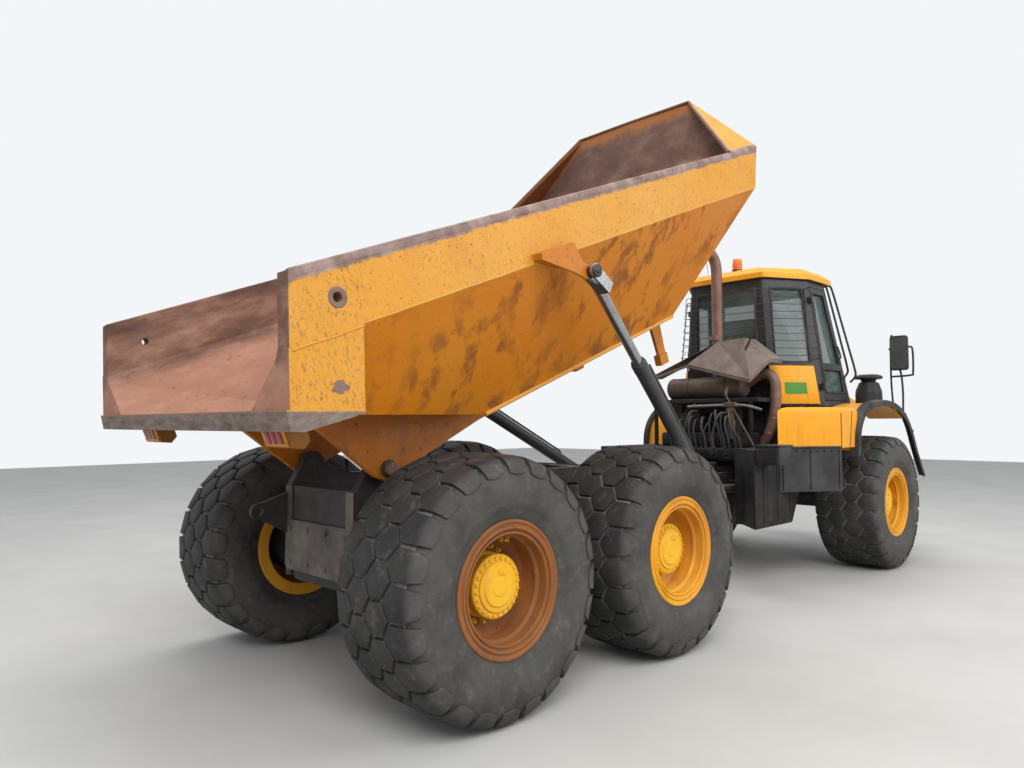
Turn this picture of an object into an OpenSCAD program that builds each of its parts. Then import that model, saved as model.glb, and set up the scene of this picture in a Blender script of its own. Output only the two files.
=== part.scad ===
// Articulated dump truck with six wheels, its bed partly raised.
// +X is forward, +Y is left, +Z is up. The origin is on the ground under the middle of the truck.

/* [Wheels] */
// Radius of a tyre out to the tips of its lugs
tyre_r = 785; // [700:1:840]
// Width of a tyre
tyre_w = 727; // [600:1:760]
// Distance from the middle plane to a tyre's middle
wheel_y = 1181.5; // [1150:0.5:1260]
// Radius of the rim's bead seat
bead_r = 330; // [300:1:350]
// Radius of the rim's flanges
flange_r = 405; // [380:1:430]
// Radius of the final drive housing in the middle of a wheel
hub_r = 190; // [160:1:220]
// Depth of a lug on the tread
lug_h = 28; // [20:1:40]

/* [Wheelbase] */
// Distance from the rear axle to the middle axle
bogie_base = 1800; // [1700:1:1900]
// Distance from the middle axle to the steering pivot
hitch_from_mid = 1900; // [1850:1:2000]
// Distance from the steering pivot to the front axle
front_from_hitch = 2720; // [2600:1:2900]
// Place of the middle axle along the truck
mid_x = -1550; // [-1600:1:-1500]

/* [Bed] */
// Angle of the bed above its lowered place
tip_now = 21.3; // [0:0.1:40]
// Half of the bed's width over the rails
bed_half_w = 1420; // [1300:1:1460]
// Half of the floor's width
floor_half_w = 830; // [760:1:840]
// Height of the rail's top with the bed lowered
rail_top_z = 2830; // [2700:1:2900]
// Depth of the side rail
rail_h = 355; // [280:1:420]
// Height of the floor's underside with the bed lowered
floor_z = 1560; // [1540:1:1600]
// Thickness of the bed's plates
bed_t = 22; // [14:1:30]
// Height of the headboard above the rails
headboard_h = 600; // [400:1:700]
// Height of the bed's hinge pin
bed_pin_z = 1455; // [1440:1:1500]
// Radius of the bed's hinge pin
bed_pin_r = 38; // [30:0.5:45]

/* [Hoist] */
// Radius of a hoist barrel
hoist_barrel_r = 60; // [55:1:64]
// Radius of a hoist rod
hoist_rod_r = 40; // [32:1:48]
// Height of a hoist's lower pivot
hoist_base_z = 1158; // [1140:1:1180]
// Distance from the middle plane to a hoist's lower pivot
hoist_base_y = 740; // [735:1:745]
// Distance from the middle plane to a hoist's upper eye
hoist_eye_y = 1498; // [1490:1:1500]

/* [Rear frame] */
// Outer half width of the rear frame's side plates
cheek_y = 465; // [420:1:475]
// Thickness of the rear frame's side plates
cheek_t = 70; // [50:1:90]
// Height of the rear frame's top edge
frame_top_z = 1370; // [1330:1:1380]
// Radius of the hole in the towing lug
tow_r = 32; // [25:1:40]

/* [Front frame] */
// Outer half width of the front frame's rails
rail_y = 360; // [320:1:400]
// Thickness of the front frame's rails
rail_t = 60; // [40:1:80]
// Height of the roll and steering pivots
hitch_z = 950; // [920:1:980]
// Radius of the steering pivot pins
steer_pin_r = 45; // [35:1:55]
// Radius of the roll shaft in the rear frame
roll_r = 120; // [100:1:140]

/* [Cab] */
// Height of the cab's floor
cab_floor_z = 1930; // [1915:1:1950]
// Height of the top of the cab's walls
cab_top_z = 3460; // [3400:1:3500]
// Thickness of the cab's walls and doors
cab_t = 45; // [35:1:60]
// Gap round a door
door_gap = 8; // [6:0.5:12]
// Thickness of the panes
pane_t = 6; // [5:0.5:8]

/* [Hidden] */
$fn = 48;
run_gap = 0.05;
seat = 0.3;
rear_x = mid_x - bogie_base;
hitch_x = mid_x + hitch_from_mid;
front_x = hitch_x + front_from_hitch;
axle_z = tyre_r;
bed_pin_x = rear_x - 200;

steel_dark = "#2c2d30";
yellow = "#e0a015";
orange_brown = "#a85c18";

// A flat plate: an outline in X and Z, between two places in Y
module plate_y(points, y0, y1) {
    translate([0, y1, 0]) rotate([90, 0, 0]) linear_extrude(y1 - y0) polygon(points);
}

// A flat plate: an outline in Y and Z, between two places in X
module plate_x(points, x0, x1) {
    translate([x0, 0, 0]) rotate([90, 0, 90]) linear_extrude(x1 - x0) polygon(points);
}

// A flat plate: an outline in X and Y, between two heights
module plate_z(points, z0, z1) {
    translate([0, 0, z0]) linear_extrude(z1 - z0) polygon(points);
}

// A block between two places on each axis
module block(x, y, z) {
    translate([x[0], y[0], z[0]]) cube([x[1] - x[0], y[1] - y[0], z[1] - z[0]]);
}

// A round bar along Y
module bar_y(x, z, y0, y1, r) {
    translate([x, y1, z]) rotate([90, 0, 0]) cylinder(h = y1 - y0, r = r);
}

// A round bar along X
module bar_x(y, z, x0, x1, r) {
    translate([x0, y, z]) rotate([0, 90, 0]) cylinder(h = x1 - x0, r = r);
}

// A round bar from one point to another
module bar(p, q, r) {
    d = q - p;
    translate(p) rotate([0, acos(d[2] / norm(d)), atan2(d[1], d[0])]) cylinder(h = norm(d), r = r);
}

// The children on the left, and their mirror image on the right
module both() {
    children();
    mirror([0, 1, 0]) children();
}

// The children on the left when s is 1, or on the right when s is -1
module side(s) {
    if (s > 0) children();
    else mirror([0, 1, 0]) children();
}

// The bed's pieces are drawn lowered, and tipped about the hinge pin
module tipped() {
    translate([bed_pin_x, 0, bed_pin_z]) rotate([0, -tip_now, 0])
        translate([-bed_pin_x, 0, -bed_pin_z]) children();
}

// Tyre: a carcass turned about the axle, with two rings of lugs, one turned half a pitch
lug_n = 22;
lug_gap = 34;
lug_in = 14;
tyre_side = tyre_w / 2;
tread_half = tyre_side - 68;
function lug_corners(i, r0, r1) = let (a = 360 / lug_n * i, w = 180 / lug_n - lug_gap / tyre_r * 90 / PI) [
    [r0 * cos(a - w), r0 * sin(a - w)], [r1 * cos(a - w), r1 * sin(a - w)],
    [r1 * cos(a + w), r1 * sin(a + w)], [r0 * cos(a + w), r0 * sin(a + w)]
];
module lug_star(turn) {
    rotate([90, turn, 0]) linear_extrude(tyre_w)
        polygon([for (i = [0 : lug_n - 1]) each lug_corners(i, tyre_r - 150, tyre_r * 1.05)]);
}

module tyre() {
    low = tyre_r - lug_h;
    color("#26262a") {
        rotate([90, 0, 0]) rotate_extrude($fn = 72) polygon([
            [bead_r + seat, -284], [bead_r + seat, 284], [flange_r + 2, 308],
            [flange_r + 60, tyre_side - 22], [tyre_r - 190, tyre_side], [low - 105, tyre_side - 22],
            [low - 35, tyre_side - 36], [low, tread_half], [low, -tread_half],
            [low - 35, 36 - tyre_side], [low - 105, 22 - tyre_side], [tyre_r - 190, -tyre_side],
            [flange_r + 60, 22 - tyre_side], [flange_r + 2, -308]
        ]);
        intersection() {
            rotate([90, 0, 0]) rotate_extrude($fn = 72) polygon([
                [tyre_r - 100, 5 - tyre_side], [tyre_r - 100, tyre_side - 5], [tyre_r - 80, tyre_side - 8],
                [tyre_r - 35, tyre_side - 22], [tyre_r, tread_half], [tyre_r, -tread_half],
                [tyre_r - 35, 22 - tyre_side], [tyre_r - 80, 8 - tyre_side]
            ]);
            union() {
                translate([0, tyre_w + lug_in, 0]) lug_star(0);
                translate([0, -lug_in, 0]) lug_star(180 / lug_n);
            }
        }
    }
}

// Rim: barrel with two flanges, a dished disc and the final drive housing, open side towards +Y
spindle_r = 90;
spindle_end = 150;
module rim() {
    color(yellow) rotate([-90, 0, 0]) rotate_extrude() polygon([
        [bead_r - 14, -318], [flange_r, -326], [flange_r, -309], [bead_r, -285], [bead_r, 285],
        [flange_r, 309], [flange_r, 326], [bead_r - 14, 318], [bead_r - 14, 120],
        [hub_r + 60, 78], [hub_r, 84], [hub_r, 205], [hub_r - 35, 225], [hub_r - 45, 238], [0, 238],
        [0, spindle_end + 10], [spindle_r + run_gap, spindle_end + 10], [spindle_r + run_gap, -60],
        [hub_r - 10, -60], [hub_r + 10, 40], [hub_r + 64, 56], [bead_r - 14, 96]
    ]);
}

module wheel_at(x, s) {
    translate([x, s * wheel_y, axle_z]) side(s) children();
}

// Axle: a banjo casing with a nose, two tubes, brake housings and spindles
drum_r = 225;
casing_r = 235;
module axle(x, nose) {
    translate([x, 0, axle_z]) {
        sphere(r = casing_r);
        rotate([0, 90, 0]) translate([0, 0, min(0, nose)]) cylinder(h = abs(nose), r = 120);
        both() {
            bar_y(0, 0, 150, wheel_y - 340, 125);
            bar_y(0, 0, wheel_y - 360, wheel_y - 75, drum_r);
            bar_y(0, 0, wheel_y - 80, wheel_y + spindle_end, spindle_r);
        }
    }
}

module tandem_axles() {
    color(steel_dark) {
        for (x = [rear_x, mid_x]) {
            axle(x, 330);
            both() block([x - 90, x + 90], [beam_y - 60, beam_y + 60], [axle_z + 60, axle_z + pad_z]);
        }
    }
}

module front_axle() {
    color(steel_dark) {
        axle(front_x, -330);
        both() block([front_x - 90, front_x + 90], [rail_y - rail_t, rail_y], [axle_z + 60, front_arch_z - seat]);
    }
}

// Bogie beams: one walking beam each side, on rubber blocks above the axle tubes
beam_y = 640;
pad_z = 150;
beam_w = 110;
bogie_x = (rear_x + mid_x) / 2;
module bogie_beams() {
    color(steel_dark) both() {
        difference() {
            plate_y([
                [rear_x - 130, axle_z + 185], [rear_x + 130, axle_z + 185], [bogie_x - 200, axle_z + 60],
                [bogie_x + 200, axle_z + 60], [mid_x - 130, axle_z + 185], [mid_x + 130, axle_z + 185],
                [mid_x + 100, axle_z + 275], [bogie_x + 220, axle_z + 330],
                [bogie_x - 220, axle_z + 330], [rear_x - 100, axle_z + 275]
            ], beam_y - beam_w / 2, beam_y + beam_w / 2);
            bar_y(bogie_x, axle_z + 200, beam_y - beam_w, beam_y + beam_w, bogie_pin_r + seat);
        }
        for (x = [rear_x, mid_x])
            block([x - 100, x + 100], [beam_y - 70, beam_y + 70], [axle_z + pad_z + seat, axle_z + 186]);
    }
}
bogie_pin_r = 60;

// Drive shafts between the hitch and the two axles of the bogie
module rear_propshafts() {
    color(steel_dark) {
        bar_x(0, axle_z, rear_x + 330, mid_x - casing_r - seat, 50);
        for (x = [rear_x + 330, mid_x - casing_r - seat - 60]) bar_x(0, axle_z, x, x + 60, 80);
        bar_x(0, axle_z, mid_x + 330, hitch_x - 1000, 50);
        bar_x(0, axle_z, mid_x + 330, mid_x + 390, 80);
    }
}

// Rear frame: two side plates, cross members, the tail plate with its ears, a towing lug and hitch bearing
tail_x = rear_x - 380;
tube_x0 = hitch_x - 900;
tube_x1 = hitch_x - 300;
module cheek() {
    plate_y([
        [tail_x, 650], [tail_x + 205, 640], [rear_x - 145, 950], [rear_x + 330, 980], [bogie_x - 300, 820],
        [bogie_x + 300, 820], [mid_x - 330, 980], [mid_x + 500, 900], [tube_x1, 780],
        [tube_x1, 1120], [hitch_x - 700, 1300], [mid_x + 300, frame_top_z],
        [bed_pin_x + 320, frame_top_z], [bed_pin_x + 90, bed_pin_z],
        [bed_pin_x - 90, bed_pin_z], [tail_x, 1300]
    ], cheek_y - cheek_t, cheek_y);
    bar_y(bed_pin_x, bed_pin_z, cheek_y - cheek_t, cheek_y, 90);
}

module rear_chassis() {
    color(steel_dark) {
        both() {
            cheek();
            bar_y(bed_pin_x, bed_pin_z, cheek_y - 20, hinge_y1 + 6, bed_pin_r);
            bar_y(bed_pin_x, bed_pin_z, hinge_y1 + 6, hinge_y1 + 24, 56);
            bar_y(bogie_x, axle_z + 200, cheek_y - 20, beam_y + 85, bogie_pin_r);
            bar_y(bogie_x, axle_z + 200, beam_y + 60, beam_y + 85, 90);
            plate_y([
                [hoist_base_x - 130, 860], [hoist_base_x + 90, 860], [hoist_base_x + 90, hoist_base_z],
                [hoist_base_x, hoist_base_z + 90], [hoist_base_x - 130, hoist_base_z]
            ], cheek_y - 20, cheek_y + 5);
            hoist_bracket();
        }
        difference() {
            union() {
                bar_x(0, hitch_z, tube_x0, tube_x1, roll_r + 60);
                for (x = [tube_x0, tube_x1 - 40])
                    block([x, x + 40], [-cheek_y + 10, cheek_y - 10], [hitch_z - 180, hitch_z + 200]);
            }
            bar_x(0, hitch_z, tube_x0 - 10, tube_x1 + 10, roll_r + run_gap);
        }
        for (x = [mid_x + 520, bogie_x - 60, rear_x + 420])
            block([x, x + 120], [-cheek_y + 10, cheek_y - 10], [1180, 1330]);
        plate_x([
            [-cheek_y + 10, 1300], [cheek_y - 10, 1300], [cheek_y - 10, 1000], [330, 640], [-330, 640],
            [-cheek_y + 10, 1000]
        ], tail_x, tail_x + 40);
        side(1) difference() {
            union() {
                plate_y([
                    [tail_x - 250, tow_z - 40], [tail_x + 20, 940], [tail_x + 20, 1260], [tail_x - 250, tow_z + 50]
                ], cheek_y - 50, cheek_y - 15);
                bar_y(tail_x - 235, tow_z, cheek_y - 50, cheek_y - 15, 58);
            }
            bar_y(tail_x - 235, tow_z, cheek_y - 60, cheek_y, tow_r);
        }
    }
}
tow_z = 1125;

// Bracket of a hoist's lower pivot: two plates off the frame with a bore in each
hoist_ears = [-78, 72];
hoist_ear_t = 28;
module hoist_bracket() {
    difference() {
        union() {
            for (e = hoist_ears) {
                y = hoist_base_y + e;
                bar_y(hoist_base_x, hoist_base_z, y, y + hoist_ear_t, 75);
                plate_y([
                    [hoist_base_x - 75, 900], [hoist_base_x + 75, 900], [hoist_base_x + 75, hoist_base_z],
                    [hoist_base_x - 75, hoist_base_z]
                ], y, y + hoist_ear_t);
            }
            block([hoist_base_x - 110, hoist_base_x + 90],
                [cheek_y, hoist_base_y + hoist_ears[1] + hoist_ear_t], [860, 910]);
        }
        hoist_pin(run_gap);
    }
}

module hoist_pin(gap) {
    bar_y(hoist_base_x, hoist_base_z, hoist_base_y + hoist_ears[0] - 12,
        hoist_base_y + hoist_ears[1] + hoist_ear_t + 12, hoist_pin_r + gap);
}

// Hoist: its line runs from the lower pivot to the eye under the bed's rail
hoist_base_x = 0;
hoist_pin_r = 32;
hoist_ball_r = 56;
hoist_eye_x = -2597;
hoist_eye_z = 2749;
hoist_d = [hoist_eye_x - hoist_base_x, hoist_eye_y - hoist_base_y, hoist_eye_z - hoist_base_z];
hoist_len = norm(hoist_d);
barrel_len = 2050;
hoist_rod_from = 715;

// The children drawn along +Z from the lower pivot, turned onto the hoist's line
module hoist_line() {
    translate([hoist_base_x, hoist_base_y, hoist_base_z])
        rotate([0, acos(hoist_d[2] / hoist_len), atan2(hoist_d[1], hoist_d[0])]) children();
}

module hoist_ball() {
    color("#8a8a8c") {
        translate([hoist_base_x, hoist_base_y, hoist_base_z]) sphere(r = hoist_ball_r);
        hoist_pin(0);
    }
}

hoist_closed = 165;
module hoist_barrel() {
    color(steel_dark) difference() {
        union() {
            bar_y(hoist_base_x, hoist_base_z, hoist_base_y - 30, hoist_base_y + 30, 92);
            hoist_line() rotate_extrude() polygon([
                [0, 60], [40, 60], [40, 130], [hoist_barrel_r, 140], [hoist_barrel_r, barrel_len - 90],
                [hoist_barrel_r + 3, barrel_len - 84], [hoist_barrel_r + 3, barrel_len], [hoist_rod_r + run_gap, barrel_len],
                [hoist_rod_r + run_gap, hoist_closed - 5], [0, hoist_closed - 5]
            ]);
        }
        bar_y(hoist_base_x, hoist_base_z, hoist_base_y - 40, hoist_base_y + 40, hoist_ball_r + run_gap);
    }
}

// Fork of the rod: wider outside than inside of the lug, for the eye drifts as the bed moves
ear_t = 18;
ear_r = 50;
hoist_lug_y = [hoist_eye_y - 16, hoist_eye_y + 4];
fork_y = [hoist_eye_y - 42, hoist_eye_y + 57];
fork_root = [92, 185];
module hoist_rod() {
    color("#9a9a9c") difference() {
        union() {
            hoist_line() translate([0, 0, hoist_rod_from])
                cylinder(h = hoist_len - hoist_rod_from - 145, r = hoist_rod_r);
            bar_y(hoist_eye_x, hoist_eye_z, fork_y[0], fork_y[1], ear_r);
            fork_plate(fork_y[0] + 2, fork_y[1] - 2, [
                [0, 3 - ear_r], [fork_root[1], -42], [fork_root[1], 42], [0, ear_r - 3]
            ]);
            fork_plate(fork_y[0] - 20, fork_y[0] + 14, [
                [fork_root[0] + 45, -30], [fork_root[1] + 10, -30], [fork_root[1] + 10, 30], [fork_root[0] + 45, 30]
            ]);
        }
        fork_plate(fork_y[0] + ear_t, fork_y[1] - ear_t, [
            [-90, -90], [fork_root[0], -90], [fork_root[0], 90], [-90, 90]
        ]);
    }
}

// A plate of the rod's fork, drawn from the eye back along the rod
module fork_plate(y0, y1, points) {
    translate([hoist_eye_x, y1, hoist_eye_z]) rotate([90, 0, 0])
        rotate(atan2(hoist_d[2], hoist_d[0]) + 180) linear_extrude(y1 - y0) polygon(points);
}

// Bed: outer forms lofted between outlines, less an inner form, open at the rear
rail_x0 = mid_x - 2720;
rail_x1 = mid_x + 2260;
lip_x = mid_x - 2950;
lip_z = 2190;
kick_x = mid_x - 1300;
nose_x = mid_x + 1200;
rail_low_z = rail_top_z - rail_h;
rail_low_x = mid_x + 2080;
function wall_y(z) = floor_half_w + (z - floor_z) * (bed_half_w - floor_half_w) / (rail_low_z - floor_z);
lip_half = wall_y(lip_z);

// A block of the trough: half width y at height z, between two places along the bed
module trough_edge(x0, x1, y, z) {
    block([x0, x1], [-y, y], [z, z + 1]);
}

// The bed's outer form below the rails
module trough_outside() {
    hull() {
        trough_edge(kick_x, nose_x, floor_half_w, floor_z);
        trough_edge(kick_x, rail_low_x, bed_half_w, rail_low_z);
    }
    hull() {
        trough_edge(kick_x, kick_x + 1, floor_half_w, floor_z);
        trough_edge(rear_low_x, kick_x + 1, bed_half_w, rail_low_z);
        trough_edge(lip_x, lip_x + 1, lip_half, lip_z);
    }
}

// The load space below the rails, which runs out past the tail
module trough_inside() {
    out = 80;
    hull() {
        trough_edge(kick_x, nose_x - bed_t, floor_half_w - bed_t, floor_z + bed_t);
        trough_edge(kick_x, rail_low_x - bed_t, rail_in_y, rail_low_z + 1);
    }
    hull() {
        trough_edge(kick_x, kick_x + 1, floor_half_w - bed_t, floor_z + bed_t);
        trough_edge(rear_low_x - out, kick_x + 1, rail_in_y, rail_low_z + 1);
        trough_edge(lip_x - out, lip_x, lip_in_y, lip_z + bed_t + out * kick_slope);
    }
}

module bed_shell() {
    color(yellow) tipped() {
        difference() {
            union() {
                trough_outside();
                plate_y([
                    [rail_x0, rail_top_z], [rear_low_x, rail_low_z], [rail_low_x, rail_low_z], [rail_x1, rail_top_z]
                ], -bed_half_w, bed_half_w);
                headboard();
                both() post();
                lip();
            }
            trough_inside();
            plate_y([
                [rail_x0 - 300, rail_top_z + 1], [rail_x0 - 300, rail_low_z], [rail_low_x - bed_t, rail_low_z],
                [rail_x1 - 90, rail_top_z + 1]
            ], -rail_in_y, rail_in_y);
            both() bar_y(rail_x0 + 210, rail_top_z - 190, rail_in_y - 20, bed_half_w + 10, post_hole_r);
        }
    }
}

// The box of a rear post: it fills out from the sloping wall to the rail's outer face
post_front_x = lip_x + 385;
module post() {
    plate_y([
        [rear_low_x, rail_low_z + 10], [lip_x, lip_z], [post_front_x, kick_z(post_front_x)],
        [post_front_x + 158, rail_low_z + 10]
    ], floor_half_w, bed_half_w);
}

// The heavy lip under the tail, as wide as the posts
lip_drop = 76;
lip_x1 = lip_x + 340;
function lip_low(x) = lip_z - lip_drop - 30 + (x - lip_x - 40) * (kick_z(lip_x1) - 8 - lip_z + lip_drop + 30) / 300;
module lip() {
    plate_y([
        [lip_x - 10, lip_z + bed_t + 10 * kick_slope], [lip_x - 26, lip_z - lip_drop], [lip_x + 40, lip_low(lip_x + 40)],
        [lip_x1, lip_low(lip_x1)], [lip_x1, kick_z(lip_x1) + 10]
    ], -bed_half_w, bed_half_w);
}

rear_low_x = rail_x0 - (rail_x0 - lip_x) * rail_h / (rail_top_z - lip_z);
rail_in_y = bed_half_w - 110;
lip_in_y = 1030;
post_hole_r = 27;

// Headboard: a trapezoid plate above the rails that leans over the cab
head_lean = 290;
head_half = 700;
head_t = 25;
wing_len = 520;
module headboard() {
    hull() {
        block([rail_x1 - head_t, rail_x1], [-bed_half_w, bed_half_w], [rail_top_z - 1, rail_top_z]);
        block([rail_x1 + head_lean - head_t, rail_x1 + head_lean], [-head_half, head_half],
            [rail_top_z + headboard_h - 1, rail_top_z + headboard_h]);
    }
    both() hull() {
        block([rail_x1 - wing_len, rail_x1 - 5], [bed_half_w - head_t, bed_half_w], [rail_top_z - 10, rail_top_z]);
        block([rail_x1 + head_lean - head_t, rail_x1 + head_lean - 5], [head_half - head_t, head_half],
            [rail_top_z + headboard_h - 10, rail_top_z + headboard_h]);
    }
}

hinge_y0 = 500;
hinge_y1 = 560;
module bed_underframe() {
    color(yellow) tipped() {
        both() {
            difference() {
                plate_y([
                    [bed_pin_x - 100, bed_pin_z - 20], [bed_pin_x, bed_pin_z - 105],
                    [bed_pin_x + 100, bed_pin_z - 60], [kick_x + 160, floor_z - 100],
                    [nose_x - 40, floor_z - 60], [nose_x - 10, floor_z - seat], [kick_x, floor_z - seat],
                    [bed_pin_x - 455, floor_z + (kick_x - bed_pin_x + 455) * kick_slope - seat]
                ], hinge_y0, hinge_y1);
                bar_y(bed_pin_x, bed_pin_z, hinge_y0 - 10, hinge_y1 + 10, bed_pin_r + run_gap);
            }
            hoist_lug();
            guide_bracket();
        }
    }
}
kick_slope = (lip_z - floor_z) / (kick_x - lip_x);

// Hoist lug: a plate hung outboard of the rail, with a standoff behind the eye
lug_x = bed_pin_x + (hoist_eye_x - bed_pin_x) * cos(tip_now) + (hoist_eye_z - bed_pin_z) * sin(tip_now);
lug_z = bed_pin_z - (hoist_eye_x - bed_pin_x) * sin(tip_now) + (hoist_eye_z - bed_pin_z) * cos(tip_now);
module hoist_lug() {
    plate_y([
        [lug_x - 430, rail_low_z + 20], [lug_x - 149, lug_z + 30], [lug_x - 50, lug_z - 38], [lug_x + 10, lug_z - 40],
        [lug_x + 36, lug_z - 16], [lug_x + 36, lug_z + 16], [lug_x + 10, lug_z + 40], [lug_x - 50, lug_z + 80],
        [lug_x - 90, rail_low_z + 60], [lug_x - 420, rail_low_z + 60]
    ], hoist_lug_y[0], hoist_lug_y[1]);
    plate_y([
        [lug_x - 425, rail_low_z + 20], [lug_x - 230, rail_low_z - 75], [lug_x - 200, rail_low_z + 60],
        [lug_x - 420, rail_low_z + 60]
    ], bed_half_w + seat, hoist_lug_y[0] + 1);
}

// Guide bracket: a plate with a shoe, hung under the floor beside the frame
guide_x = [-330, -170];
module guide_bracket() {
    plate_y([
        [guide_x[0], floor_z - seat], [guide_x[0] + 30, 1180], [guide_x[1] - 20, 1180], [guide_x[1], floor_z - seat]
    ], hinge_y0 + 30, hinge_y1);
    block([guide_x[0] + 20, guide_x[1] - 10], [hinge_y0, hinge_y1 + 10], [1084, 1184]);
}

lamp_x = lip_x + 120;
function kick_z(x) = floor_z + (kick_x - x) * kick_slope;
module tail_lamps() {
    color(orange_brown) tipped() both() plate_y([
        [lamp_x, lip_low(lamp_x) - seat], [lamp_x, 1960], [lamp_x + 60, 1930], [lamp_x + 110, 1960],
        [lamp_x + 110, lip_low(lamp_x + 110) - seat]
    ], 780, 1080);
}

// Hitch yoke: the roll shaft, a head and two lugs with the steering bores
yoke_h = 230;
module hitch_yoke() {
    color(steel_dark) difference() {
        union() {
            bar_x(0, hitch_z, tube_x0 - 40, hitch_x - 200, roll_r);
            bar_x(0, hitch_z, tube_x0 - 60, tube_x0 - 12, roll_r + 50);
            bar_x(0, hitch_z, tube_x1 + 12, hitch_x - 150, roll_r + 60);
            plate_z([
                [hitch_x - 220, -190], [hitch_x - 60, -150], [hitch_x, -110], [hitch_x, 110],
                [hitch_x - 60, 150], [hitch_x - 220, 190]
            ], hitch_z - yoke_h, hitch_z + yoke_h);
            translate([hitch_x, 0, hitch_z - yoke_h]) cylinder(h = 2 * yoke_h, r = 110);
            both() steer_lug();
        }
        translate([hitch_x, 0, hitch_z - yoke_h - 10])
            cylinder(h = 2 * yoke_h + 20, r = steer_pin_r + run_gap);
    }
}

steer_eye = [hitch_x - 150, 370];
steer_base = [hitch_x + 900, 510];
module steer_lug() {
    plate_z([
        [hitch_x - 215, 120], [hitch_x - 90, 100], [steer_eye[0] + 55, steer_eye[1]],
        [steer_eye[0] - 55, steer_eye[1]]
    ], hitch_z - 20, hitch_z + 20);
    translate([steer_eye[0], steer_eye[1], hitch_z - 20]) cylinder(h = 40, r = 55);
}

// Steering cylinder: the barrel turns on the front frame, the rod's eye lies over the yoke's lug
steer_d = [steer_eye[0] - steer_base[0], steer_eye[1] - steer_base[1]];
steer_len = norm(steer_d);
steer_z = hitch_z + 70;
steer_barrel_len = 700;
steer_rod_from = 375;
steer_ear = [52, 76];
module steer_line() {
    translate([steer_base[0], steer_base[1], steer_z]) rotate([0, 90, atan2(steer_d[1], steer_d[0])])
        children();
}

module steer_barrel() {
    color(steel_dark) difference() {
        union() {
            translate([steer_base[0], steer_base[1], steer_z - 30]) cylinder(h = 60, r = 50);
            steer_line() translate([0, 0, 40]) cylinder(h = steer_barrel_len - 40, r = 48);
        }
        translate([steer_base[0], steer_base[1], steer_z - 40]) cylinder(h = 80, r = 25 + run_gap);
        steer_line() translate([0, 0, 80]) cylinder(h = steer_barrel_len, r = 25 + run_gap);
    }
}

module steer_rod() {
    color("#9a9a9c") {
        steer_line() translate([0, 0, steer_rod_from]) cylinder(h = steer_len - steer_rod_from - 40, r = 25);
        translate([steer_eye[0], steer_eye[1], steer_z - 30]) cylinder(h = 60, r = 48);
    }
}

// Front frame: two rails, cross members, the hitch's lugs with pins, a bumper and brackets
bumper_x = -(bed_pin_x + (rail_x0 - bed_pin_x) * cos(tip_now) - (rail_top_z - bed_pin_z) * sin(tip_now));
front_rail_x0 = hitch_x + 260;
front_arch_z = 980;
module front_chassis() {
    color(steel_dark) {
        both() {
            plate_y([
                [front_rail_x0, 760], [front_x - 320, front_arch_z], [front_x + 320, front_arch_z],
                [bumper_x - 200, 800], [bumper_x - 200, 1180], [front_rail_x0, 1180]
            ], rail_y - rail_t, rail_y);
            steer_bracket();
        }
        for (x = [front_rail_x0 + 10, hitch_x + 1150, front_x - 600, front_x + 480])
            block([x, x + 100], [-rail_y + 10, rail_y - 10], [1040, 1160]);
        for (z = [hitch_z - yoke_h - 72, hitch_z + yoke_h + 12]) {
            plate_z([
                [hitch_x, -100], [front_rail_x0 + 60, -rail_y], [front_rail_x0 + 60, rail_y], [hitch_x, 100]
            ], z, z + 60);
            translate([hitch_x, 0, z]) cylinder(h = 60, r = 100);
        }
        block([front_rail_x0, front_rail_x0 + 60], [-rail_y, rail_y],
            [hitch_z - yoke_h - 72, hitch_z + yoke_h + 72]);
        translate([hitch_x, 0, hitch_z - yoke_h - 72]) cylinder(h = 2 * yoke_h + 144, r = steer_pin_r);
        difference() {
            block([bumper_x - 220, bumper_x], [-1150, 1150], [760, 1060]);
            translate([bumper_x - 75, 0, 750]) cylinder(h = 330, r = tow_r);
            block([bumper_x - 160, bumper_x + 10], [-200, 200], [850, 970]);
        }
        both() {
            block([bumper_x - 420, bumper_x - 200], [rail_y - rail_t, rail_y], [800, 1060]);
            block([hood_pin_x - 35, hood_pin_x + 35], [rail_y, rail_y + 30], [1050, hood_pin_z]);
            bar_y(hood_pin_x, hood_pin_z, rail_y, rail_y + 30, 35);
            bar_y(hood_pin_x, hood_pin_z, rail_y + 10, rail_y + 75, 15);
            for (x = cab_mount_x) {
                block([x, x + 80], [rail_y - rail_t, rail_y], [1100, cab_floor_z - 90]);
                block([x, x + 80], [780, 860], [cab_floor_z - 91, cab_floor_z - seat]);
            }
            block([tank_x0 + 480, tank_x0 + 560], [rail_y - 10, tank_y0], [1000, 1100]);
            block([tank_x0 + 900, tank_x0 + 980], [rail_y - 10, tank_y0], [1000, 1100]);
            block([exhaust_post_x, exhaust_post_x + 80], [rail_y - rail_t, rail_y], [1100, 1400]);
        }
        for (x = cab_mount_x) block([x, x + 80], [-880, 880], [cab_floor_z - 160, cab_floor_z - 90]);
        block([exhaust_post_x, exhaust_post_x + 80], [-610, 610], [1399, 1465]);
        for (y = [-340, 440])
            block([exhaust_post_x + 10, exhaust_post_x + 70], [y, y + 60], [1460, silencer_z - silencer_r - seat]);
    }
}

cab_mount_x = [1960, 2960];
exhaust_post_x = 1510;
silencer_z = 2150;
hood_pin_x = 4520;
hood_pin_z = 1200;
module steer_bracket() {
    for (z = [steer_z - steer_ear[1], steer_z + steer_ear[0]])
        plate_z([
            [steer_base[0] - 60, rail_y - 10], [steer_base[0] + 120, rail_y - 10],
            [steer_base[0] + 50, steer_base[1] + 60], [steer_base[0] - 50, steer_base[1] + 60]
        ], z, z + 24);
    translate([steer_base[0], steer_base[1], steer_z - steer_ear[1]]) cylinder(h = 2 * steer_ear[1], r = 25);
}

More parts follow.
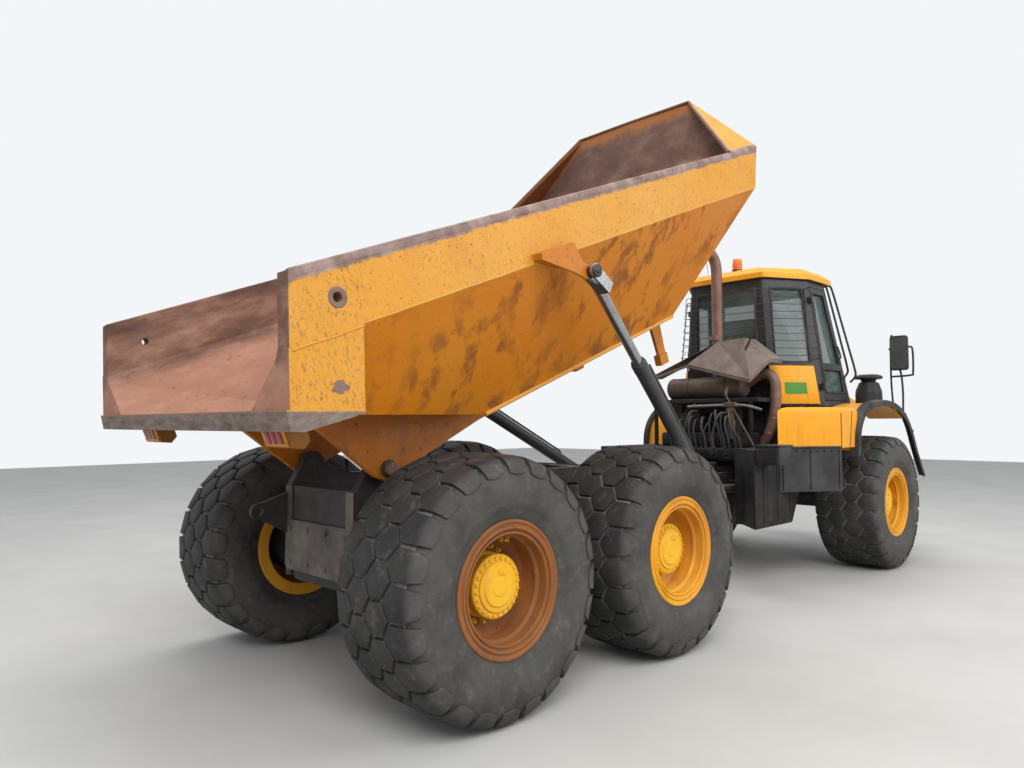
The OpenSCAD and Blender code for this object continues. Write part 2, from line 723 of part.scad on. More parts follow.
// Engine: one plain block between the front rails
module engine_block() {
    color("#3a3c3e") {
        block([front_x + 270, front_x + 1200], [-290, 290], [1160 + seat, 1960]);
        block([front_x - 750, front_x + 180], [-260, 260], [1160 + seat, 1600]);
        block([front_x + 1260, front_x + 1380], [-430, 430], [1180 + seat, 1960]);
    }
}

// Fenders: the yellow side panels and the plates over the front wheels
fender_in = 985;
function fender_top(x) = 1965 - (x - front_x + 60) * 155 / 700;
fender_out = 1400;
module fenders() {
    color(yellow) both() {
        difference() {
            plate_y([
                [tank_x0 + 200, tank_z1 + seat], [front_x - 960, tank_z1 + seat], [front_x - 860, 1420], [front_x - 780, 1700],
                [front_x - 560, 1860], [front_x - 60, 1925], [front_x + 640, 1770],
                [front_x + 640, 1810], [front_x - 60, 1965], [front_x - 900, 1900], [tank_x0 + 200, 1900]
            ], fender_in, fender_out);
            block([tank_x0 + 220, front_x - 900], [fender_in - 50, fender_out - 20], [tank_z1 + 20, 1880]);
        }
    }
}

module fender_flares() {
    color("#1c1c1e") both() plate_y([
        [front_x - 900, 1400], [front_x - 800, 1690], [front_x - 570, 1858], [front_x - 60, 1922],
        [front_x + 560, 1780], [front_x + 1300, 1010], [front_x + 1350, 1040], [front_x + 600, 1850],
        [front_x - 40, 1990], [front_x - 640, 1925], [front_x - 870, 1730], [front_x - 960, 1420]
    ], fender_out + seat, fender_out + 45);
}

// Side tanks: fuel and oil tanks behind black skirts under the cab
tank_x0 = hitch_x + 500;
tank_y0 = 620;
tank_z1 = 1460;
module side_tanks() {
    color("#1b1c1e") both() plate_y([
        [tank_x0, 690], [tank_x0 + 550, 690], [tank_x0 + 1000, 1000], [tank_x0 + 1200, 1000],
        [tank_x0 + 1260, 1400], [tank_x0 + 1260, tank_z1], [tank_x0, tank_z1]
    ], tank_y0, 1290);
}

// Cab: closed forms lofted from the floor to the roof
cab_rear_x = 1850;
cab_post_x = 2400;
cab_front_low_x = 3250;
cab_front_top_x = 2940;
cab_low_y = 963;
cab_top_y = 778;
function cab_half(z) = cab_low_y + (z - cab_floor_z) * (cab_top_y - cab_low_y) / (cab_top_z - cab_floor_z);
module cab_outline(grow, x_front, y_side, y_rear) {
    polygon([
        [cab_rear_x + grow, -y_rear + grow], [cab_post_x, -y_side + grow], [x_front - 60, -y_side + grow],
        [x_front - grow, -y_side + 120 + grow], [x_front - grow, y_side - 120 - grow],
        [x_front - 60, y_side - grow], [cab_post_x, y_side - grow], [cab_rear_x + grow, y_rear - grow]
    ]);
}

module cab_form(t, z0, z1) {
    hull() {
        translate([0, 0, z0]) linear_extrude(0.1) cab_outline(t, cab_front_low_x, cab_half(z0), 560);
        translate([0, 0, z1 - 0.1]) linear_extrude(0.1) cab_outline(t, cab_front_top_x, cab_half(z1), 470);
    }
}

module cab_skin(t0, t1) {
    difference() {
        cab_form(t0, cab_floor_z, cab_top_z);
        cab_form(t1, cab_floor_z - 1, cab_top_z + 1);
    }
}

// The outline of a door opening in X and Z, shrunk by g
door_x0 = cab_post_x + 20;
door_x1 = 3080;
door_z0 = 1990;
door_z1 = 3380;
function door_shape(g) = [
    [door_x0 + g, door_z0 + g], [door_x1 - g, door_z0 + g], [door_x1 - g, 2360],
    [2860 - g, door_z1 - g], [door_x0 + g, door_z1 - g]
];
pane_edge = 70;
function pane_shape(g) = [
    [door_x0 + pane_edge + g, 2090 + g], [door_x1 - pane_edge - g, 2090 + g],
    [door_x1 - pane_edge - g, 2360], [2800 - g, door_z1 - pane_edge - g],
    [door_x0 + pane_edge + g, door_z1 - pane_edge - g]
];

quarter_angle = atan2(cab_low_y - 560, cab_post_x - cab_rear_x);
module quarter_cut(g) {
    translate([cab_rear_x, 500, 0]) rotate([0, 0, quarter_angle - 5])
        block([110 + g, 560 - g], [-200, 200], [2450 + g, 3340 - g]);
}

module rear_cut(g) {
    block([cab_rear_x - 50, cab_rear_x + 120], [-400 + g, 400 - g], [2450 + g, 3340 - g]);
}

module windscreen_cut(g) {
    plate_x([
        [-760 + g, 2420 + g], [760 - g, 2420 + g], [640 - g, 3340 - g], [-640 + g, 3340 - g]
    ], cab_front_top_x - 60, cab_front_low_x + 60);
}

module cab_shell() {
    color("#17181a") {
        difference() {
            cab_skin(0, cab_t);
            both() plate_y(door_shape(0), 500, 1200);
            both() quarter_cut(0);
            rear_cut(0);
            windscreen_cut(0);
        }
        intersection() {
            cab_form(cab_t - 1, cab_floor_z, cab_top_z);
            block([0, 4000], [-1000, 1000], [cab_floor_z, cab_floor_z + 30]);
        }
        both() for (z = hinge_zs) {
            bar(hinge_at(z - 30), hinge_at(z - 1), 12);
            bar(hinge_at(z - 30), hinge_at(z + 60), hinge_r);
            block([door_x0 - 45, door_x0 + 2], [cab_half(z) - 12, cab_half(z) + 20], [z - 29, z - 4]);
        }
    }
}

module cab_glass() {
    color("#9fb4b8", 0.4) intersection() {
        cab_skin(18, 18 + pane_t);
        union() {
            both() quarter_cut(seat);
            rear_cut(seat);
            windscreen_cut(seat);
        }
    }
}

module cab_roof() {
    color(yellow) difference() {
        hull() {
            translate([0, 0, cab_top_z + seat]) linear_extrude(60)
                cab_outline(-40, cab_front_top_x + 130, cab_top_y, 470);
            translate([0, 0, cab_top_z + 120]) linear_extrude(20)
                cab_outline(60, cab_front_top_x + 60, cab_top_y, 470);
        }
    }
    color("#c84a10") translate([cab_rear_x + 120, -100, cab_top_z + 130]) cylinder(h = 160, r = 55);
}

module cab_interior() {
    color("#202124") {
        block([2250, 2700], [-230, 230], [cab_floor_z + 30 + seat, 2300]);
        block([2240, 2760], [-260, 260], [2299, 2420]);
        block([2200, 2320], [-250, 250], [2380, 3020]);
        block([2960, 3080], [-560, 560], [cab_floor_z + 30 + seat, 2400]);
    }
}

// Door hinges: pins on the post, along a line just outside the cab's side
hinge_r = 6;
hinge_zs = [2150, 3200];
function hinge_at(z) = [door_x0 + 2, cab_half(z) + 14, z];

// One door: the part of the cab's skin inside its opening, less its pane
module door() {
    color("#17181a") {
        difference() {
            intersection() {
                cab_skin(0, cab_t);
                plate_y(door_shape(door_gap), 500, 1200);
            }
            plate_y(pane_shape(0), 500, 1200);
        }
        for (z = hinge_zs) difference() {
            union() {
                bar(hinge_at(z + 1), hinge_at(z + 60), 12);
                block([door_x0 + 2, door_x0 + 50], [cab_half(z) - 14, cab_half(z) + 18], [z + 8, z + 50]);
            }
            bar(hinge_at(z), hinge_at(z + 61), hinge_r + run_gap);
        }
    }
}

module door_glass() {
    color("#9fb4b8", 0.4) intersection() {
        cab_skin(18, 18 + pane_t);
        plate_y(pane_shape(seat), 500, 1200);
    }
}

// Exhaust: a silencer along Y, its stack with a bent outlet and the pipe down to the engine bay
stack = [1550, -20];
stack_r = 64;
silencer_y = [-400, 600];
silencer_r = 130;
exhaust_pipe_r = 50;
exhaust_route = [
    [1650, -380, 2170], [1650, -600, 2230], [1650, -690, 2130], [1650, -680, 1950],
    [1650, -560, 1520], [1690, -200, 1330], [2300, -200, 1300]
];
module exhaust() {
    color("#5a3f33") {
        translate([stack[0], stack[1], silencer_z]) cylinder(h = 3680 - silencer_z, r = stack_r);
        translate([stack[0], stack[1], 3680]) rotate([0, -35, 0]) cylinder(h = 170, r = stack_r);
        translate([stack[0], stack[1], 3680]) sphere(r = stack_r);
        bar_y(stack[0], silencer_z, silencer_y[0], silencer_y[1], silencer_r);
        for (i = [1 : len(exhaust_route) - 1]) {
            bar(exhaust_route[i - 1], exhaust_route[i], exhaust_pipe_r);
            if (i < len(exhaust_route) - 1) translate(exhaust_route[i]) sphere(r = exhaust_pipe_r);
        }
    }
}

// Heat shield: a bent sheet over the silencer, as panels between its corners, on two legs
shield_t = 8;
shield_x = [1480, 1780];
shield_fold = [[900, 2300], [-100, 2690], [-420, 2710], [-740, 2450]];
shield_near = [[1280, -590, 2215], [1280, 200, 2430]];
module shield_panel(points) {
    hull() for (p = points) translate(p) cube(shield_t);
}

module heat_shield() {
    f = [for (x = shield_x) [for (p = shield_fold) [x, p[0], p[1]]]];
    color("#6b4636") {
        difference() {
            union() {
                for (i = [0 : 2]) shield_panel([f[0][i], f[1][i], f[1][i + 1], f[0][i + 1]]);
                shield_panel([f[0][1], f[0][2], shield_near[0]]);
                shield_panel([f[0][1], shield_near[0], shield_near[1]]);
                shield_panel([f[0][2], f[0][3], shield_near[0]]);
            }
            translate([stack[0], stack[1], 2500]) cylinder(h = 300, r = stack_r + 4);
        }
        for (leg = [[-300, 2704], [300, 2537]])
            block([stack[0] - 12, stack[0] + 12], [leg[0] - 15, leg[0] + 15], [silencer_z + silencer_r + seat, leg[1]]);
    }
}

module air_intake() {
    color("#1a1a1c") {
        plate_y([
            [3475, fender_top(3475) + seat], [3645, fender_top(3645) + seat], [3645, 1880], [3475, 1880]
        ], -1160, -1020);
        translate([3560, -1090, 1879]) cylinder(h = 195, r = 70);
        translate([3560, -1090, 2070]) cylinder(h = 60, r = 110);
        translate([3560, -1090, 2130]) cylinder(h = 100, r1 = 110, r2 = 80);
    }
}

module mirrors() {
    color("#17181a") both() {
        bar([3640, 1310, fender_top(3622) + seat], [3680, 1330, 2880], 18);
        bar([3670, 1325, 2760], [3640, 1400, 2760], 16);
        block([3620, 3660], [1330, 1500], [2380, 2800]);
    }
}

module lamps() {
    color("#d8dadc") both() block([bumper_x - 60, bumper_x - 20], [720, 960], [1060 + seat, 1200]);
}

// Hood: a sloping shell over the engine, open below and behind
hood_x0 = 3300;
hood_x1 = 4560;
module hood_form(t) {
    hull() {
        block([hood_x0 - (t > 0 ? 50 : 0), hood_x0 + 1], [-600 + t, 600 - t], [1240 - (t > 0 ? 50 : 0), 2250 - t]);
        block([hood_x1 - t - 1, hood_x1 - t], [-540 + t, 540 - t], [1240 - (t > 0 ? 50 : 0), 2010 - t]);
    }
}

module hood() {
    color(yellow) difference() {
        hood_form(0);
        hood_form(25);
        block([hood_x1 - 100, hood_x1 + 20], [-420, 420], [1320, 1920]);
    }
    color(yellow) both() difference() {
        union() {
            bar_y(hood_pin_x, hood_pin_z, rail_y + 38, rail_y + 64, 32);
            block([hood_pin_x - 30, hood_x1 - 10], [rail_y + 38, rail_y + 64], [hood_pin_z, 1280]);
        }
        bar_y(hood_pin_x, hood_pin_z, rail_y, rail_y + 80, 15 + run_gap);
    }
}

module grille() {
    color("#1a1a1c") difference() {
        block([hood_x1 - 20, hood_x1 + 10], [-420 + seat, 420 - seat], [1320 + seat, 1920 - seat]);
        for (z = [1360 : 60 : 1840]) block([hood_x1 - 30, hood_x1 + 20], [-380, 380], [z, z + 34]);
    }
}

rear_chassis();
tandem_axles();
bogie_beams();
rear_propshafts();
hitch_yoke();
front_chassis();
front_axle();
engine_block();
fenders();
fender_flares();
side_tanks();
cab_shell();
cab_roof();
cab_glass();
cab_interior();
exhaust();
heat_shield();
air_intake();
mirrors();
lamps();
hood();
grille();
door();  // door_left
door_glass();  // door_glass_left
side(-1) door();  // door_right
side(-1) door_glass();  // door_glass_right
wheel_at(front_x, 1) tyre();  // tyre_front_left
wheel_at(front_x, 1) rim();  // rim_front_left
wheel_at(front_x, -1) tyre();  // tyre_front_right
wheel_at(front_x, -1) rim();  // rim_front_right
wheel_at(mid_x, 1) tyre();  // tyre_mid_left
wheel_at(mid_x, 1) rim();  // rim_mid_left
wheel_at(mid_x, -1) tyre();  // tyre_mid_right
wheel_at(mid_x, -1) rim();  // rim_mid_right
wheel_at(rear_x, 1) tyre();  // tyre_rear_left
wheel_at(rear_x, 1) rim();  // rim_rear_left
wheel_at(rear_x, -1) tyre();  // tyre_rear_right
wheel_at(rear_x, -1) rim();  // rim_rear_right
bed_shell();
bed_underframe();
tail_lamps();
hoist_ball();  // hoist_ball_left
hoist_barrel();  // hoist_barrel_left
hoist_rod();  // hoist_rod_left
side(-1) hoist_ball();  // hoist_ball_right
side(-1) hoist_barrel();  // hoist_barrel_right
side(-1) hoist_rod();  // hoist_rod_right
steer_barrel();  // steer_barrel_left
steer_rod();  // steer_rod_left
side(-1) steer_barrel();  // steer_barrel_right
side(-1) steer_rod();  // steer_rod_right
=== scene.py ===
"""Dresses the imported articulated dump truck: its tyres, rims, panels, pipes and finishes."""

import math
import random

import bmesh
import bpy
from mathutils import Matrix, Vector


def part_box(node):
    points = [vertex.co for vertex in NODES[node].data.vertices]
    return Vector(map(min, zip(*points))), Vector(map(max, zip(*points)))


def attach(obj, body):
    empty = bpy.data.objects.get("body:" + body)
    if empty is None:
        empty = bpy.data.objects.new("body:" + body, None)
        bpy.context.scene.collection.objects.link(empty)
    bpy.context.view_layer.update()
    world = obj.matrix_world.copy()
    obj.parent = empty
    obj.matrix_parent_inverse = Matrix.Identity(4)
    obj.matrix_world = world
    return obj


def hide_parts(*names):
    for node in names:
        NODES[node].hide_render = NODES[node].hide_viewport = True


bl_info = {
    "name": "Articulated dump truck dressing",
    "version": (1, 0, 0),
    "blender": (4, 5, 0),
    "location": "3D View > Sidebar > Truck",
    "description": "Builds the visible pieces and finishes of a six-wheel articulated dump truck",
    "category": "Object",
}

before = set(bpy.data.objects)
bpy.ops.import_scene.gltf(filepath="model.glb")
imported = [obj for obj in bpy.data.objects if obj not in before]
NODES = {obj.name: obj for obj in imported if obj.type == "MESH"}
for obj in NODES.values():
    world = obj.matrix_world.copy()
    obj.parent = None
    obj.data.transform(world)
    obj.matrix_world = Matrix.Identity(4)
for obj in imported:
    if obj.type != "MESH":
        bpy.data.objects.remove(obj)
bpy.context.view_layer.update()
WHEELS = [a + "_" + b for a in ("front", "mid", "rear") for b in ("left", "right")]
SIDES = (("left", 1), ("right", -1))
SIGNS = (1, -1)
MATERIALS = {}

BED_PIN = Vector((-3.55, 0, 1.455))
BED_TIP = math.radians(21.3)
BED_TURN = (
    Matrix.Translation(BED_PIN)
    @ Matrix.Rotation(-BED_TIP, 4, "Y")
    @ Matrix.Translation(-BED_PIN)
)

CAMERA_ROLL = math.radians(-0.24)

# Sizes and places in metres, on the left where they have a mirror image
WHEEL_MIDDLE = 1.1815  # from the truck's middle to a wheel's
TREAD_HALF = 0.31  # half of the grooved band's width
BLOCK_ROOT = 0.02  # how far a tyre's blocks reach into its carcass
WIDEST = 7  # the point at which a tyre's half profile is widest
TANK_FACE = 0.985  # outer face of the tanks, inner edge of the fenders
FENDER_SIDE = 1.4
FENDER_FOOT = 1.4603
POST_FACE = 1.4205  # outer face of the bed's posts
WELD_STEP = 0.09  # between the bends of a weld's bead
HOIST_BASE = (0, 0.74, 1.158)  # the hoist's lower pin
HOIST_EYE = (-2.597, 1.498, 2.749)  # its upper pin, with the bed as it stands
CAB_LOW, CAB_RISE = 1.93, 1.53  # foot and height of the cab's walls
CAB_HALF, CAB_LEAN = 0.963, 0.185  # half width at the foot, and its loss on the way up
PANE_LOW, PANE_TOP = 2.45, 3.34
TAIL = -3.73  # rear face of the rear frame


# Mesh tools


def turned_to(axis, at=(0, 0, 0)):
    """A matrix that turns Z onto an axis and moves the origin to a point."""
    return Matrix.Translation(Vector(at)) @ Vector((0, 0, 1)).rotation_difference(
        Vector(axis)
    ).to_matrix().to_4x4()


def edges_of(verts):
    """The edges at some vertices, each once."""
    return list(dict.fromkeys(e for v in verts for e in v.link_edges))


def add_box(bm, low, high, bevel=0.0, segments=2, turn=None):
    """A block between two corners, with its edges rounded."""
    low, high = Vector(low), Vector(high)
    size = Matrix.Diagonal([*(high - low), 1])
    place = Matrix.Translation((low + high) / 2) @ size
    verts = bmesh.ops.create_cube(
        bm, size=1, matrix=turn @ place if turn else place
    )["verts"]
    if bevel:
        round_edges(bm, edges_of(verts), bevel, segments)


def round_edges(bm, edges, width, segments=2):
    bmesh.ops.bevel(
        bm,
        geom=edges,
        offset=width,
        offset_type="OFFSET",
        segments=segments,
        profile=0.5,
        affect="EDGES",
        clamp_overlap=True,
        material=-1,
    )


def add_side_box(bm, sign, low, high, bevel, segments=2, turn=None):
    """A block on one side of the truck, from the corners of the one on the left."""
    near, far = sorted((sign * low[1], sign * high[1]))
    add_box(bm, (low[0], near, low[2]), (high[0], far, high[2]), bevel, segments, turn)


def add_plate(bm, outline, depth, bevel=0.0, segments=1):
    """A flat plate: its outline as points, and the vector of its thickness."""
    verts = [bm.verts.new(p) for p in outline]
    face = bmesh.ops.contextual_create(bm, geom=verts)["faces"][0]
    made = bmesh.ops.extrude_face_region(bm, geom=[face], use_keep_orig=True)["geom"]
    moved = [g for g in made if isinstance(g, bmesh.types.BMVert)]
    bmesh.ops.translate(bm, verts=moved, vec=Vector(depth))
    if bevel:
        round_edges(bm, edges_of(verts + moved), bevel, segments)
    return verts + moved


def add_spin(bm, profile, at, axis, sides=48, closed=False):
    """A turned form: pairs of radius and height along an axis through a point."""
    place = turned_to(axis, at)
    verts = [bm.verts.new(place @ Vector((r, 0, h))) for r, h in profile]
    pairs = list(zip(verts, verts[1:] + verts[:1] if closed else verts[1:]))
    edges = [bm.edges.new(pair) for pair in pairs]
    bmesh.ops.spin(
        bm,
        geom=verts + edges,
        cent=place.translation,
        axis=place.to_3x3() @ Vector((0, 0, 1)),
        dvec=(0, 0, 0),
        angle=math.tau,
        steps=sides,
        use_merge=True,
        use_duplicate=False,
    )
    bmesh.ops.remove_doubles(bm, verts=bm.verts, dist=1e-5)


def add_rod(bm, start, end, radius, sides=12, end_radius=None):
    """A round bar between two points."""
    start, end = Vector(start), Vector(end)
    bmesh.ops.create_cone(
        bm,
        cap_ends=True,
        segments=sides,
        radius1=radius,
        radius2=radius if end_radius is None else end_radius,
        depth=(end - start).length,
        matrix=turned_to(end - start, (start + end) / 2),
    )


def add_rods(bm, points, radius, sides=8):
    """Round bars from each point to the next."""
    for start, end in zip(points, points[1:]):
        add_rod(bm, start, end, radius, sides)


def add_bolt(bm, at, axis, radius, height):
    """A hexagon head on a washer."""
    at, axis = Vector(at), Vector(axis).normalized()
    add_rod(bm, at - axis * 0.002, at + axis * 0.003, radius * 1.5, 10)
    add_rod(bm, at, at + axis * height, radius, 6, radius * 0.94)


def add_tube(bm, points, radius, sides=10):
    """A round tube along points, closed at both ends."""
    points = [Vector(p) for p in points]
    count = len(points)
    tangents = [
        (points[min(i + 1, count - 1)] - points[max(i - 1, 0)]).normalized()
        for i in range(count)
    ]
    turn = Vector((0, 0, 1)).rotation_difference(tangents[0])
    frames = []
    for i in range(count):
        if i:
            turn = tangents[i - 1].rotation_difference(tangents[i]) @ turn
        frames.append(Matrix.Translation(points[i]) @ turn.to_matrix().to_4x4())
    ring = bmesh.ops.create_circle(
        bm, cap_ends=True, segments=sides, radius=radius, matrix=frames[0]
    )["verts"]
    edges = edges_of(ring)
    for before, after in zip(frames, frames[1:]):
        made = bmesh.ops.extrude_edge_only(bm, edges=edges)["geom"]
        ring = [g for g in made if isinstance(g, bmesh.types.BMVert)]
        inside = set(ring)
        edges = [
            g
            for g in made
            if isinstance(g, bmesh.types.BMEdge) and set(g.verts) <= inside
        ]
        bmesh.ops.transform(bm, matrix=after @ before.inverted(), verts=ring)
    bmesh.ops.contextual_create(bm, geom=edges)


def curved(points, steps=6):
    """Points on a smooth curve through the given ones."""
    p = [Vector(x) for x in points]
    p = [p[0] * 2 - p[1], *p, p[-1] * 2 - p[-2]]
    found = []
    for a, b, c, d in zip(p, p[1:], p[2:], p[3:]):
        for i in range(steps):
            t = i / steps
            found.append(
                0.5
                * (
                    2 * b
                    + (c - a) * t
                    + (2 * a - 5 * b + 4 * c - d) * t * t
                    + (3 * b - a - 3 * c + d) * t**3
                )
            )
    return found + [p[-2]]


def curved_side(points, steps):
    """Pairs of x and z on a smooth curve through the given ones."""
    return [(p.x, p.z) for p in curved([(x, 0, z) for x, z in points], steps)]


def at_side(points, y, lift=0.0):
    """Points from pairs of x and z, moved out to y and up."""
    return [(x, y, z + lift) for x, z in points]


def sided(points, sign):
    """Points of the left side, on the side of a sign."""
    return [(x, sign * y, z) for x, y, z in points]


def even_angles(count, first=0):
    """Angles spaced evenly round a circle, moved on by a share of the spacing."""
    return [math.tau * (i + first) / count for i in range(count)]


def round_spots(place, reach, height, angles):
    """Points round the axis of a matrix."""
    return [place @ Vector((reach * math.cos(a), reach * math.sin(a), height)) for a in angles]


def mark_faces(bm, count, index):
    """Gives all faces after the first ones another of the piece's materials."""
    bm.faces.ensure_lookup_table()
    for face in bm.faces[count:]:
        face.material_index = index


def mirrored(bm):
    """Adds the mirror image on the other side of the truck."""
    made = bmesh.ops.duplicate(bm, geom=bm.verts[:] + bm.edges[:] + bm.faces[:])["geom"]
    verts = [g for g in made if isinstance(g, bmesh.types.BMVert)]
    bmesh.ops.scale(bm, vec=(1, -1, 1), verts=verts)
    faces = [g for g in made if isinstance(g, bmesh.types.BMFace)]
    bmesh.ops.reverse_faces(bm, faces=faces)


def add_loft(bm, lines):
    """A bar whose section runs through lines of as many points, closed at both ends."""
    rings = []
    for section in zip(*lines):
        verts = [bm.verts.new(p) for p in section]
        rings.append([bm.edges.new(pair) for pair in zip(verts, verts[1:] + verts[:1])])
    made = []
    for ring, following in zip(rings, rings[1:]):
        made += bmesh.ops.bridge_loops(bm, edges=ring + following)["faces"]
    for ring in (rings[0], rings[-1]):
        made += bmesh.ops.contextual_create(bm, geom=ring)["faces"]
    bmesh.ops.recalc_face_normals(bm, faces=made)


def bed(x, y, z):
    """The raised place of a point that is given in the lowered bed."""
    return BED_TURN @ Vector((x, y, z))


def quarter(along, z, out=0.012):
    """A point on the cab's right quarter face, from its rear edge to its post."""
    top = CAB_LOW + CAB_RISE
    low = Vector((1.85, -0.56, CAB_LOW)).lerp(Vector((2.40, -CAB_HALF, CAB_LOW)), along)
    high = Vector((1.85, -0.47, top)).lerp(Vector((2.40, -0.778, top)), along)
    return low.lerp(high, (z - CAB_LOW) / CAB_RISE) + Vector((-0.59, -0.8, 0.07)) * out


def cab_side(z):
    """Half of the cab's width at a height."""
    return CAB_HALF - (z - CAB_LOW) * CAB_LEAN / CAB_RISE


def finished(name, bm, body, slot, *finishes, angle=32, replaced=()):
    """Makes the piece of a bmesh: smooth below an angle, and riding on its body."""
    bmesh.ops.recalc_face_normals(bm, faces=bm.faces)
    mesh = bpy.data.meshes.new(name)
    bm.to_mesh(mesh)
    bm.free()
    for key in finishes:
        mesh.materials.append(MATERIALS[key])
    mesh.polygons.foreach_set("use_smooth", [True] * len(mesh.polygons))
    mesh.set_sharp_from_angle(angle=math.radians(angle))
    piece = bpy.data.objects.new(name, mesh)
    bpy.context.scene.collection.objects.link(piece)
    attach(piece, body)
    if replaced:
        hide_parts(*replaced)
    return piece


# Material tools


class Finish:
    """Writes the nodes of one material, on Object coordinates."""

    def __init__(self, name, **fixed):
        self.material = bpy.data.materials.new(name)
        self.material.use_nodes = True
        self.tree = self.material.node_tree
        self.shader = self.tree.nodes["Principled BSDF"]
        for socket, value in fixed.items():
            self.shader.inputs[socket.replace("_", " ")].default_value = value
        coordinates = self.tree.nodes.new("ShaderNodeTexCoord")
        self.place = coordinates.outputs["Object"]
        self.facing = coordinates.outputs["Normal"]

    def node(self, kind, settings=(), **sockets):
        made = self.tree.nodes.new("ShaderNode" + kind)
        for key, value in dict(settings).items():
            setattr(made, key, value)
        for key, value in sockets.items():
            index = int(key[1:]) if key[0] == "i" and key[1:].isdigit() else key
            socket = made.inputs[index]
            if isinstance(value, bpy.types.NodeSocket):
                self.tree.links.new(value, socket)
            else:
                socket.default_value = value
        return made

    def moved(self, turn=0.0, about=(0, 0, 0), stretch=(1, 1, 1), vector=None):
        """The place, turned about Y through a point and stretched."""
        made = self.node(
            "Mapping", i0=vector or self.place, i2=(0, turn, 0), i3=stretch
        )
        if any(about):
            shift = Vector(about) - Matrix.Rotation(turn, 3, "Y") @ Vector(about)
            made.inputs[1].default_value = shift
        return made.outputs[0]

    def noise(self, scale, detail=4, rough=0.5, stretch=None):
        place = self.place
        if stretch:
            place = self.moved(stretch=stretch)
        made = self.node("TexNoise", Vector=place, Scale=scale, Detail=detail)
        made.inputs["Roughness"].default_value = rough
        return made.outputs[0]

    def step(self, value, low, high):
        """0 below low, 1 above high."""
        made = self.node("MapRange", i0=value, i1=low, i2=high)
        made.clamp = True
        return made.outputs[0]

    def math(self, operation, a, b=0.5, c=0.0):
        made = self.node("Math", {"operation": operation}, i0=a, i1=b)
        if operation == "MULTIPLY_ADD":
            made.inputs[2].default_value = c
        return made.outputs[0]

    def times(self, *values):
        found = values[0]
        for value in values[1:]:
            found = self.math("MULTIPLY", found, value)
        return found

    def either(self, *values):
        found = values[0]
        for value in values[1:]:
            found = self.math("MAXIMUM", found, value)
        return found

    def less(self, value):
        return self.math("SUBTRACT", 1.0, value)

    def axes(self, vector):
        return self.node("SeparateXYZ", i0=vector).outputs

    def mix(self, share, a, b):
        made = self.node("Mix", {"data_type": "RGBA"}, i0=share)
        for index, value in ((6, a), (7, b)):
            if isinstance(value, bpy.types.NodeSocket):
                self.tree.links.new(value, made.inputs[index])
            else:
                made.inputs[index].default_value = (*value[:3], 1)
        return made.outputs[2]

    def ramp(self, value, *stops):
        made = self.node("ValToRGB", i0=value)
        elements = made.color_ramp.elements
        while len(elements) < len(stops):
            elements.new(0.5)
        for element, (at, colour) in zip(elements, stops):
            element.position = at
            element.color = (*colour, 1)
        return made.outputs[0]

    def done(self, colour=None, rough=None, height=None, metal=None, depth=0.002):
        inputs = self.shader.inputs
        for socket, value in (
            ("Base Color", colour),
            ("Roughness", rough),
            ("Metallic", metal),
        ):
            if isinstance(value, bpy.types.NodeSocket):
                self.tree.links.new(value, inputs[socket])
            elif value is not None:
                inputs[socket].default_value = (
                    (*value, 1) if socket == "Base Color" else value
                )
        if metal is None:
            inputs["Specular IOR Level"].default_value = 0.25
        if height is not None:
            bump = self.node("Bump", Height=height, Strength=1.0, Distance=depth)
            self.tree.links.new(bump.outputs[0], inputs["Normal"])
        return self.material


RUST_DARK = (0.045, 0.02, 0.012)
RUST_MID = (0.15, 0.055, 0.022)
RUST_BRIGHT = (0.36, 0.13, 0.035)
RUST_EDGE = (0.36, 0.135, 0.035)
DUST = (0.36, 0.32, 0.27)


def rust_colours(f, scale=7):
    return f.ramp(
        f.noise(scale, 8, 0.65),
        (0.3, RUST_DARK),
        (0.5, RUST_MID),
        (0.72, RUST_BRIGHT),
    )


def paint(name, colour, shade, rust=0.3, dust=0.3, grime=0.3, gloss=0.42, seed=0.0):
    """Enamel with faded patches, chips, rust spots, runs and dust on what faces up."""
    f = Finish(name)
    shifted = f.node("VectorMath", {"operation": "ADD"}, i0=f.place, i1=(seed,) * 3)
    f.place = shifted.outputs[0]
    tone = f.mix(f.step(f.noise(1.3, 5, 0.6), 0.35, 0.68), colour, shade)
    worn = [c * 0.82 + 0.06 for c in colour]
    tone = f.mix(f.times(f.step(f.noise(5, 8, 0.7), 0.52, 0.75), 0.5), tone, worn)
    runs = f.step(f.noise(3, 6, 0.6, stretch=(4, 4, 0.45)), 0.5, 0.78)
    tone = f.mix(f.times(runs, grime), tone, (0.12, 0.075, 0.045))
    region = f.step(f.noise(1.9, 4), 0.4, 0.66)
    spots = f.step(f.noise(19, 9, 0.7), 0.70 - 0.16 * rust, 0.74 - 0.14 * rust)
    specks = f.step(f.noise(75, 4, 0.6), 0.76 - 0.12 * rust, 0.8 - 0.12 * rust)
    rusty = f.either(f.times(spots, region), f.times(specks, 0.8))
    tone = f.mix(rusty, tone, rust_colours(f))
    up = f.step(f.axes(f.facing)[2], 0.45, 0.95)
    dusty = f.times(up, f.step(f.noise(3.2, 6, 0.6), 0.3, 0.7), dust)
    film = f.times(f.step(f.noise(1.1, 6, 0.65), 0.45, 0.8), dust * 0.45)
    tone = f.mix(f.either(dusty, film), tone, DUST)
    rough = f.math("MULTIPLY_ADD", f.either(rusty, dusty), 0.45, gloss)
    height = f.math("MULTIPLY_ADD", rusty, -0.5, 0.0)
    height = f.math("ADD", height, f.times(f.noise(140, 3), 0.06))
    return f.done(tone, rough, height, depth=0.0012)


